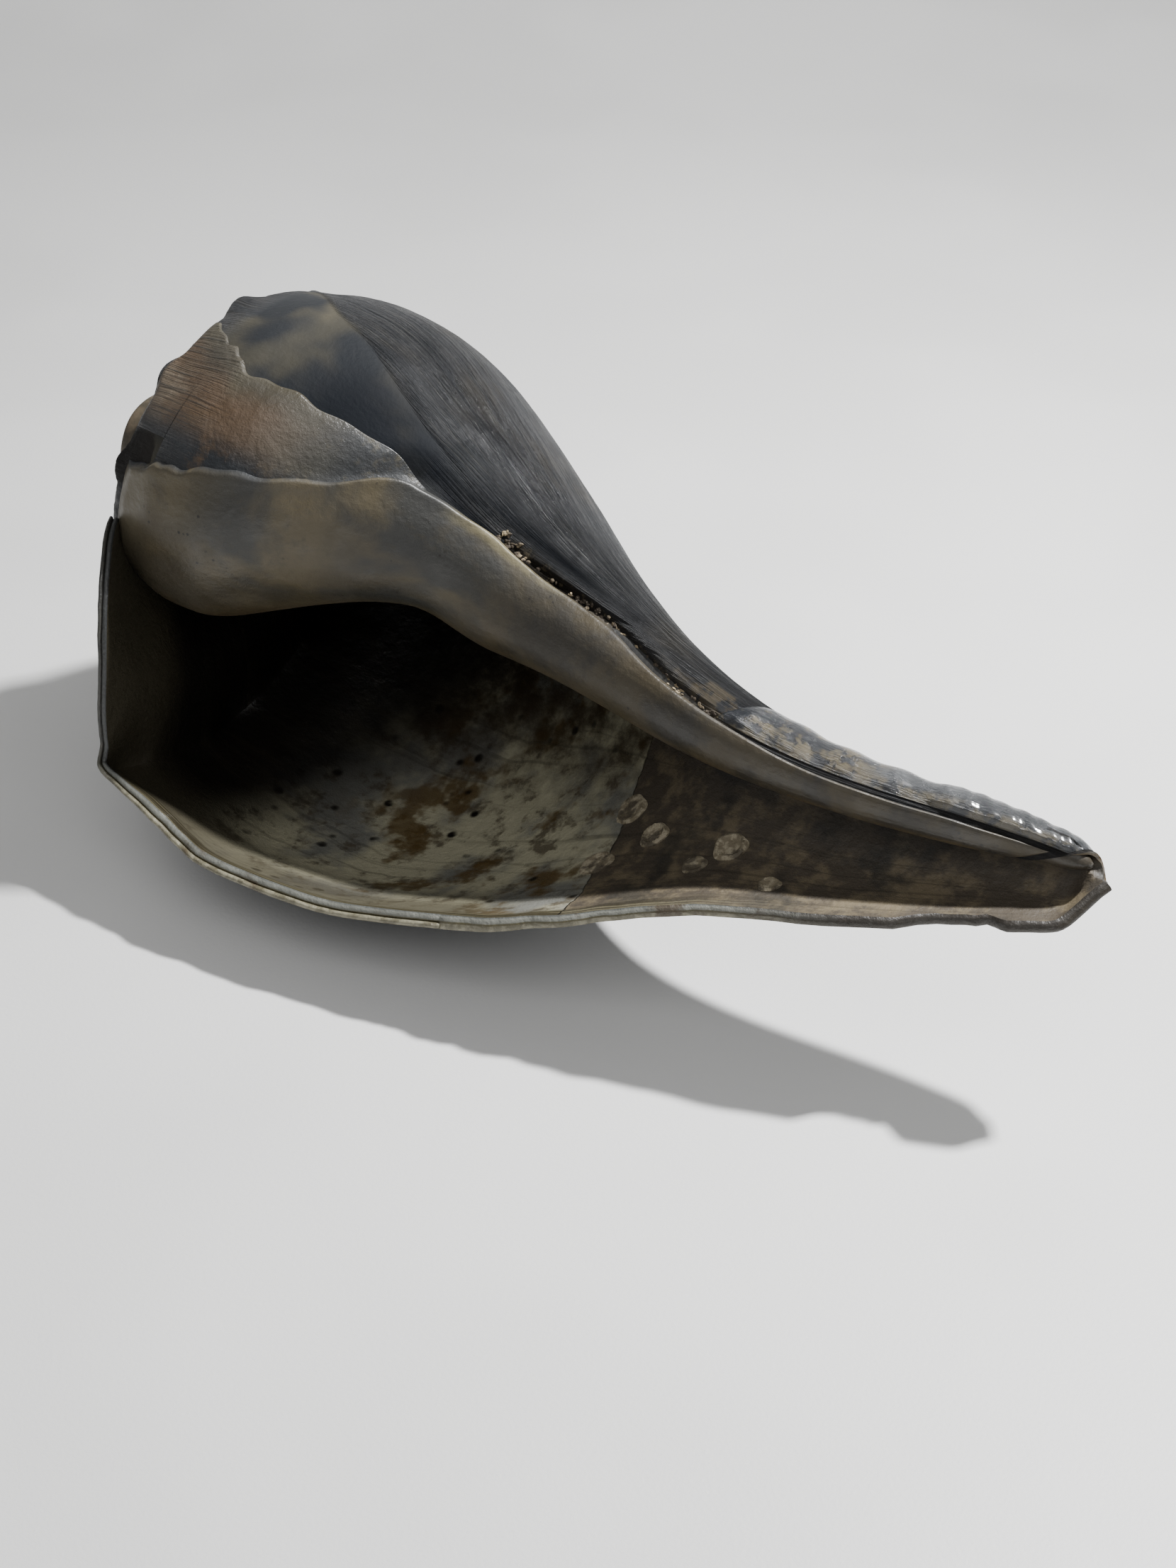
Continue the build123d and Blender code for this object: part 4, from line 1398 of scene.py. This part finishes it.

# %% [markdown]
# ## Barnacle bases and spat rings
#
# Barnacles settled in the canal and left their bases: low rings with a sunken floor and fine
# ribs. A tree sets one flat disc at each place on the wall, so a new base is one more line in
# the list. Where only the outline was left, the ring is thinner and lower.

# %% Barnacle bases
BARNACLES = [(-42, 0.685, 4.0, 1.0), (-38, 0.765, 4.4, 0.9), (-19.5, 0.79, 2.8, 0.55),
             (-52, 0.651, 4.6, 0.4), (-30, 0.634, 4.6, 0.4), (-27, 0.74, 3.2, 0.25)]
DISC_RINGS = 14
DISC_SPOKES = 48


def barnacle_tree():
    """Sets the disc (x, y from -1 to 1) flat on a place on the wall, given by three vectors."""
    tree = Tree("barnacle_base", {
        "Centre": ("Vector", (0.0, 0.0, 0.0)),
        "Across": ("Vector", (1.0, 0.0, 0.0)),
        "Along": ("Vector", (0.0, 1.0, 0.0)),
        "Away": ("Vector", (0.0, 0.0, 1.0)),
        "Height": ("Float", 1.0),
        "Seed": ("Float", 0.0),
        "Finish": ("Material", None),
    })
    given = tree.input.outputs
    split = tree.node("ShaderNodeSeparateXYZ")
    tree.wire(tree.node("GeometryNodeInputPosition").outputs[0], split.inputs[0])
    x, y, z = split.outputs
    radius = tree.math("SQRT", tree.math("ADD", tree.math("MULTIPLY", x, x),
                                         tree.math("MULTIPLY", y, y)))
    angle = tree.math("ARCTAN2", y, x)
    rim = tree.math("SUBTRACT", 1.0, tree.math("ABSOLUTE", tree.math(
        "DIVIDE", tree.math("SUBTRACT", radius, 0.78), 0.24)))
    rim = tree.math("MAXIMUM", rim, 0.0)
    ribs = tree.math("MULTIPLY_ADD", tree.math("SINE", tree.math("MULTIPLY", angle, 17.0)),
                     0.14, 1.0)
    spot = tree.combine(x, y, given["Seed"])
    rough = tree.math("MULTIPLY", tree.noise(spot, 3.5, 3.0), 0.9)
    height = tree.math("ADD", tree.math("MULTIPLY", rim, ribs), rough)
    height = tree.math("MULTIPLY", tree.math("MULTIPLY", height, given["Height"]), 0.8 * MM)
    top = tree.math("MULTIPLY_ADD", z, height, tree.math("MULTIPLY", z, 0.25 * MM))
    place = tree.vector("ADD", given["Centre"], tree.scaled(given["Across"], x))
    place = tree.vector("ADD", place, tree.scaled(given["Along"], y))
    place = tree.vector("ADD", place, tree.scaled(given["Away"], top))
    move = tree.node("GeometryNodeSetPosition")
    tree.wire(given["Geometry"], move.inputs["Geometry"])
    tree.wire(place, move.inputs["Position"])
    tree.finish(move.outputs[0])
    return tree


def disc_mesh():
    """A closed disc in rings: upper face at z 1, lower face at z -1."""
    radius = np.linspace(0.08, 1, DISC_RINGS)
    turn = np.linspace(0, 2 * np.pi, DISC_SPOKES, endpoint=False)
    wobble = 1 + 0.06 * np.sin(3 * turn + 1) + 0.04 * np.sin(5 * turn)
    flat = np.stack([np.outer(radius, np.cos(turn) * wobble),
                     np.outer(radius, np.sin(turn) * wobble)], -1)
    upper = np.concatenate([flat, np.ones((*flat.shape[:2], 1))], -1)
    lower = np.concatenate([flat, -np.ones((*flat.shape[:2], 1))], -1)[::-1]
    rings = np.concatenate([upper, lower])
    rows, around = rings.shape[:2]
    index = np.arange(rows * around).reshape(rows, around)
    ahead = np.roll(index, -1, axis=1)
    faces = np.stack([index[:-1], ahead[:-1], ahead[1:], index[1:]], -1).reshape(-1, 4)
    mesh = mesh_from("disc", rings.reshape(-1, 3), faces)
    return close_holes(mesh)


def close_holes(mesh):
    """Fills the two small holes at the centre and turns every face outwards."""
    work = bmesh.new()
    work.from_mesh(mesh)
    bmesh.ops.holes_fill(work, edges=work.edges, sides=DISC_SPOKES)
    bmesh.ops.recalc_face_normals(work, faces=work.faces)
    work.to_mesh(mesh)
    work.free()
    return mesh


def barnacle_finish():
    f = Finish("barnacle_shell")
    grain = f.noise(500.0, 4.0, 0.6)
    colour = f.over(tone("756c58"), tone("9a917c"), f.between(grain, 0.42, 0.6))
    colour = f.over(colour, tone("3e372c"), f.between(f.noise(220.0, 3.0), 0.50, 0.62, 0.8))
    return f.done(colour, 0.75, (grain, 0.0004))


BARNACLE_TREE = barnacle_tree()
BARNACLE_SHELL = barnacle_finish()


def joined(name, meshes):
    """One mesh from several."""
    work = bmesh.new()
    for mesh in meshes:
        work.from_mesh(mesh)
    whole = bpy.data.meshes.new(name)
    work.to_mesh(whole)
    work.free()
    whole.materials.append(meshes[0].materials[0])
    return whole


def barnacle_meshes():
    for number, (growth, station, radius, height) in enumerate(BARNACLES):
        row = int(np.argmin(np.abs(
            last_whorl.growth[:, last_whorl.column(station)] - growth)))
        column = last_whorl.column(station)
        centre = last_whorl.inner[row, column]
        away = last_whorl.inner_normals[row, column]
        across = unit(last_whorl.inner[row, column + 1] - last_whorl.inner[row, column - 1])
        along = np.cross(away, across)
        yield run_tree(BARNACLE_TREE, disc_mesh(), f"barnacle_{number}",
                       centre=tuple(centre), across=tuple(across * radius * MM),
                       along=tuple(along * radius * MM), away=tuple(away), height=height,
                       seed=float(number), finish=BARNACLE_SHELL)


settle("barnacle_rings", joined("barnacle_rings", list(barnacle_meshes())),
       "barnacle_bases", "barnacle")

# %% [markdown]
# ## Crust in the groove
#
# Grit and worm tubes are cemented in the groove along the glaze. They are small rounded grains
# that repeat by the hundred, so a tree scatters them over a strip of the wall with a fixed seed.

# %% Groove crust
def crust_tree():
    tree = Tree("groove_grains", {
        "Grains Per Square Metre": ("Float", 1100000.0),
        "Grain Size": ("Float", 0.00055),
        "Seed": ("Int", 7),
        "Finish": ("Material", None),
    })
    given = tree.input.outputs
    scatter = tree.node("GeometryNodeDistributePointsOnFaces")
    tree.wire(given["Geometry"], scatter.inputs["Mesh"])
    tree.wire(given["Grains Per Square Metre"], scatter.inputs["Density"])
    tree.wire(given["Seed"], scatter.inputs["Seed"])
    grain = tree.node("GeometryNodeMeshIcoSphere")
    grain.inputs["Subdivisions"].default_value = 1
    tree.wire(given["Grain Size"], grain.inputs["Radius"])
    spread = tree.node("FunctionNodeRandomValue", data_type="FLOAT_VECTOR")
    spread.inputs[0].default_value = (0.45, 0.45, 0.3)
    spread.inputs[1].default_value = (1.7, 1.3, 0.8)
    tree.wire(given["Seed"], spread.inputs["Seed"])
    stand = tree.node("GeometryNodeInstanceOnPoints")
    tree.wire(scatter.outputs["Points"], stand.inputs["Points"])
    tree.wire(grain.outputs["Mesh"], stand.inputs["Instance"])
    tree.wire(scatter.outputs["Rotation"], stand.inputs["Rotation"])
    tree.wire(spread.outputs[0], stand.inputs["Scale"])
    tree.finish(stand.outputs[0])
    return tree


def groove_strip():
    """A ragged strip of the wall's outer face along the groove."""
    growth, station = last_whorl.growth, last_whorl.stations
    line = callus_border(station) + 4
    width = 3.2 + 2.6 * np.sin(station * 47) * np.sin(station * 19 + 2)
    within = (np.abs(growth - line) < width) & (station > 0.57) & (station < 0.80)
    faces = grid_faces(*growth.shape)
    chosen = faces[within.ravel()[faces].all(axis=1)]
    return mesh_from("groove_strip", last_whorl.outer.reshape(-1, 3), chosen)


def crust_finish():
    f = Finish("groove_crust_grains")
    colour = f.over(tone("3a3229"), tone("8f8168"), f.between(f.noise(260.0, 3.0), 0.5, 0.66))
    return f.done(colour, 0.85, (f.noise(1500.0, 2.0), 0.0001))


crust_mesh = run_tree(crust_tree(), groove_strip(), "crust_grains", finish=crust_finish())
print("crust grains", len(crust_mesh.polygons), "faces")
settle("crust_grains", crust_mesh, "groove_crust", "crust")

# %% [markdown]
# ## The mouth ring
#
# The apex is ground flat and a short turned ring is set there to blow against. Its section is
# rounded by use, so it is turned from a profile with soft corners.

# %% Mouth ring
def mouth_ring_mesh():
    middle, half = (RING_RADIUS + BORE_RADIUS) / 2, (RING_RADIUS - BORE_RADIUS) / 2
    turn = np.linspace(0, 2 * np.pi, 40, endpoint=False)
    squared = [np.sign(v) * np.abs(v) ** 0.45 for v in (np.cos(turn), np.sin(turn))]
    x = RING_MIDDLE + squared[0] * RING_LENGTH / 2
    radius = middle + squared[1] * half
    around = np.linspace(0, 2 * np.pi, 96, endpoint=False)
    ring = np.stack([np.zeros_like(around), np.cos(around), np.sin(around)], -1)
    local = ring[None] * radius[:, None, None]
    local[..., 0] = x[:, None] + 0.12 * np.sin(around * 5)[None]
    points = (local * MM) @ np.array(TILT).T + np.array(REST)
    faces = loop_faces(len(turn), len(around))
    flat = points.reshape(-1, 3)
    return smooth(mesh_from("mouth_ring", flat, turned_out(flat, faces)))


def ring_finish():
    f = Finish("ring_horn")
    colour = f.over(tone("3a352b"), tone("52493b"), f.between(f.noise(150.0, 4.0), 0.42, 0.6))
    return f.done(colour, 0.45, (f.noise(900.0, 3.0), 0.0001))


ring_mesh = mouth_ring_mesh()
ring_mesh.materials.append(ring_finish())
settle("mouth_ring", ring_mesh, "apex_mouth_ring", "ring")

# %% [markdown]
# ## The camera
#
# The camera looks down on the mouth from the canal's side. Its place is measured from the canal's
# tip, in its own directions: so far back, so far left, so far up.

# %% Camera
AZIMUTH, ELEVATION = math.radians(32.9), math.radians(36.4)
BACK = Vector((math.sin(AZIMUTH) * math.cos(ELEVATION),
               -math.cos(AZIMUTH) * math.cos(ELEVATION), math.sin(ELEVATION)))
RIGHT = Vector((math.cos(AZIMUTH), math.sin(AZIMUTH), 0.0))
UP = BACK.cross(RIGHT)
LENS = 53.7
CAMERA_BACK, CAMERA_LEFT, CAMERA_UP = 0.520, 0.1159, 0.0199
canal_tip = Vector(axis_points(np.array([BEND_END]))[0])


def add_camera():
    camera = bpy.data.objects.new("camera", bpy.data.cameras.new("camera"))
    bpy.context.scene.collection.objects.link(camera)
    bpy.context.scene.camera = camera
    camera.data.lens = LENS
    place = canal_tip + BACK * CAMERA_BACK - RIGHT * CAMERA_LEFT + UP * CAMERA_UP
    facing = Matrix((RIGHT, UP, BACK)).transposed().to_4x4()
    camera.matrix_world = Matrix.Translation(place) @ facing


add_camera()

# %% [markdown]
# ## Floor and light
#
# The shell lies on a pale sheet that sweeps up behind it. One lamp stands high on the right and a
# little behind the shell, and throws the shadow to the left and forward. A wide soft light from
# above and in front fills it.

# %% Floor and lights
SHEET_NEAR = -1.2
SHEET_BENDS = 0.55
SHEET_CURVE = 0.45
SHEET_TOP = 1.8
SHEET_SIDE = 1.8
AIM_HEIGHT = 0.06  # the lights point at about the middle of the shell
SURROUNDINGS = 0.30


def floor_mesh():
    """A sheet that runs flat under the shell and curves up behind it."""
    curve = np.linspace(0.06, np.pi / 2, 24)
    reach = np.concatenate([np.linspace(SHEET_NEAR, SHEET_BENDS, 30),
                            SHEET_BENDS + SHEET_CURVE * np.sin(curve),
                            [SHEET_BENDS + SHEET_CURVE]])
    height = np.concatenate([np.zeros(30), SHEET_CURVE * (1 - np.cos(curve)), [SHEET_TOP]])
    away = np.array([-math.sin(AZIMUTH), math.cos(AZIMUTH), 0.0])
    side = np.array([math.cos(AZIMUTH), math.sin(AZIMUTH), 0.0])
    across = np.linspace(-SHEET_SIDE, SHEET_SIDE, 30)
    rows = away * reach[:, None] + np.array([0, 0, 1.0]) * height[:, None]
    points = rows[:, None] + side * across[None, :, None]
    faces = grid_faces(len(reach), len(across))[:, ::-1]
    return smooth(mesh_from("floor", points.reshape(-1, 3), faces))


def floor_finish():
    f = Finish("pale_sheet")
    colour = f.over(tone("dcdcdb"), tone("e2e2e1"), f.between(f.noise(6.0, 2.0), 0.4, 0.6))
    return f.done(colour, 0.5, (f.noise(900.0, 2.0), 0.00006))


floor_sheet = floor_mesh()
floor_sheet.materials.append(floor_finish())
add_object("floor", floor_sheet)


def add_light(name, direction, distance, size, power):
    """An area light that stands in a direction from the shell and faces it."""
    light = bpy.data.lights.new(name, "AREA")
    light.shape = "RECTANGLE"
    light.size, light.size_y = size
    light.energy = power
    holder = bpy.data.objects.new(name, light)
    bpy.context.scene.collection.objects.link(holder)
    place = direction.normalized() * distance + Vector((0, 0, AIM_HEIGHT))
    facing = direction.to_track_quat("Z", "Y").to_matrix().to_4x4()
    holder.matrix_world = Matrix.Translation(place) @ facing


FRONT = Vector((math.sin(AZIMUTH), -math.cos(AZIMUTH), 0.0))
SKY = Vector((0, 0, 1.0))
add_light("key", RIGHT * 0.32 - FRONT * 0.085 + SKY * 0.54, 0.64, (0.035, 0.035), 12.5)
add_light("soft_fill", SKY * 1.0 + FRONT * 0.7, 1.3, (1.2, 0.8), 5.0)

world = bpy.data.worlds.new("studio")
bpy.context.scene.world = world
world.use_nodes = True
background = world.node_tree.nodes["Background"]
background.inputs["Color"].default_value = (1.0, 1.0, 1.0, 1.0)
background.inputs["Strength"].default_value = SURROUNDINGS
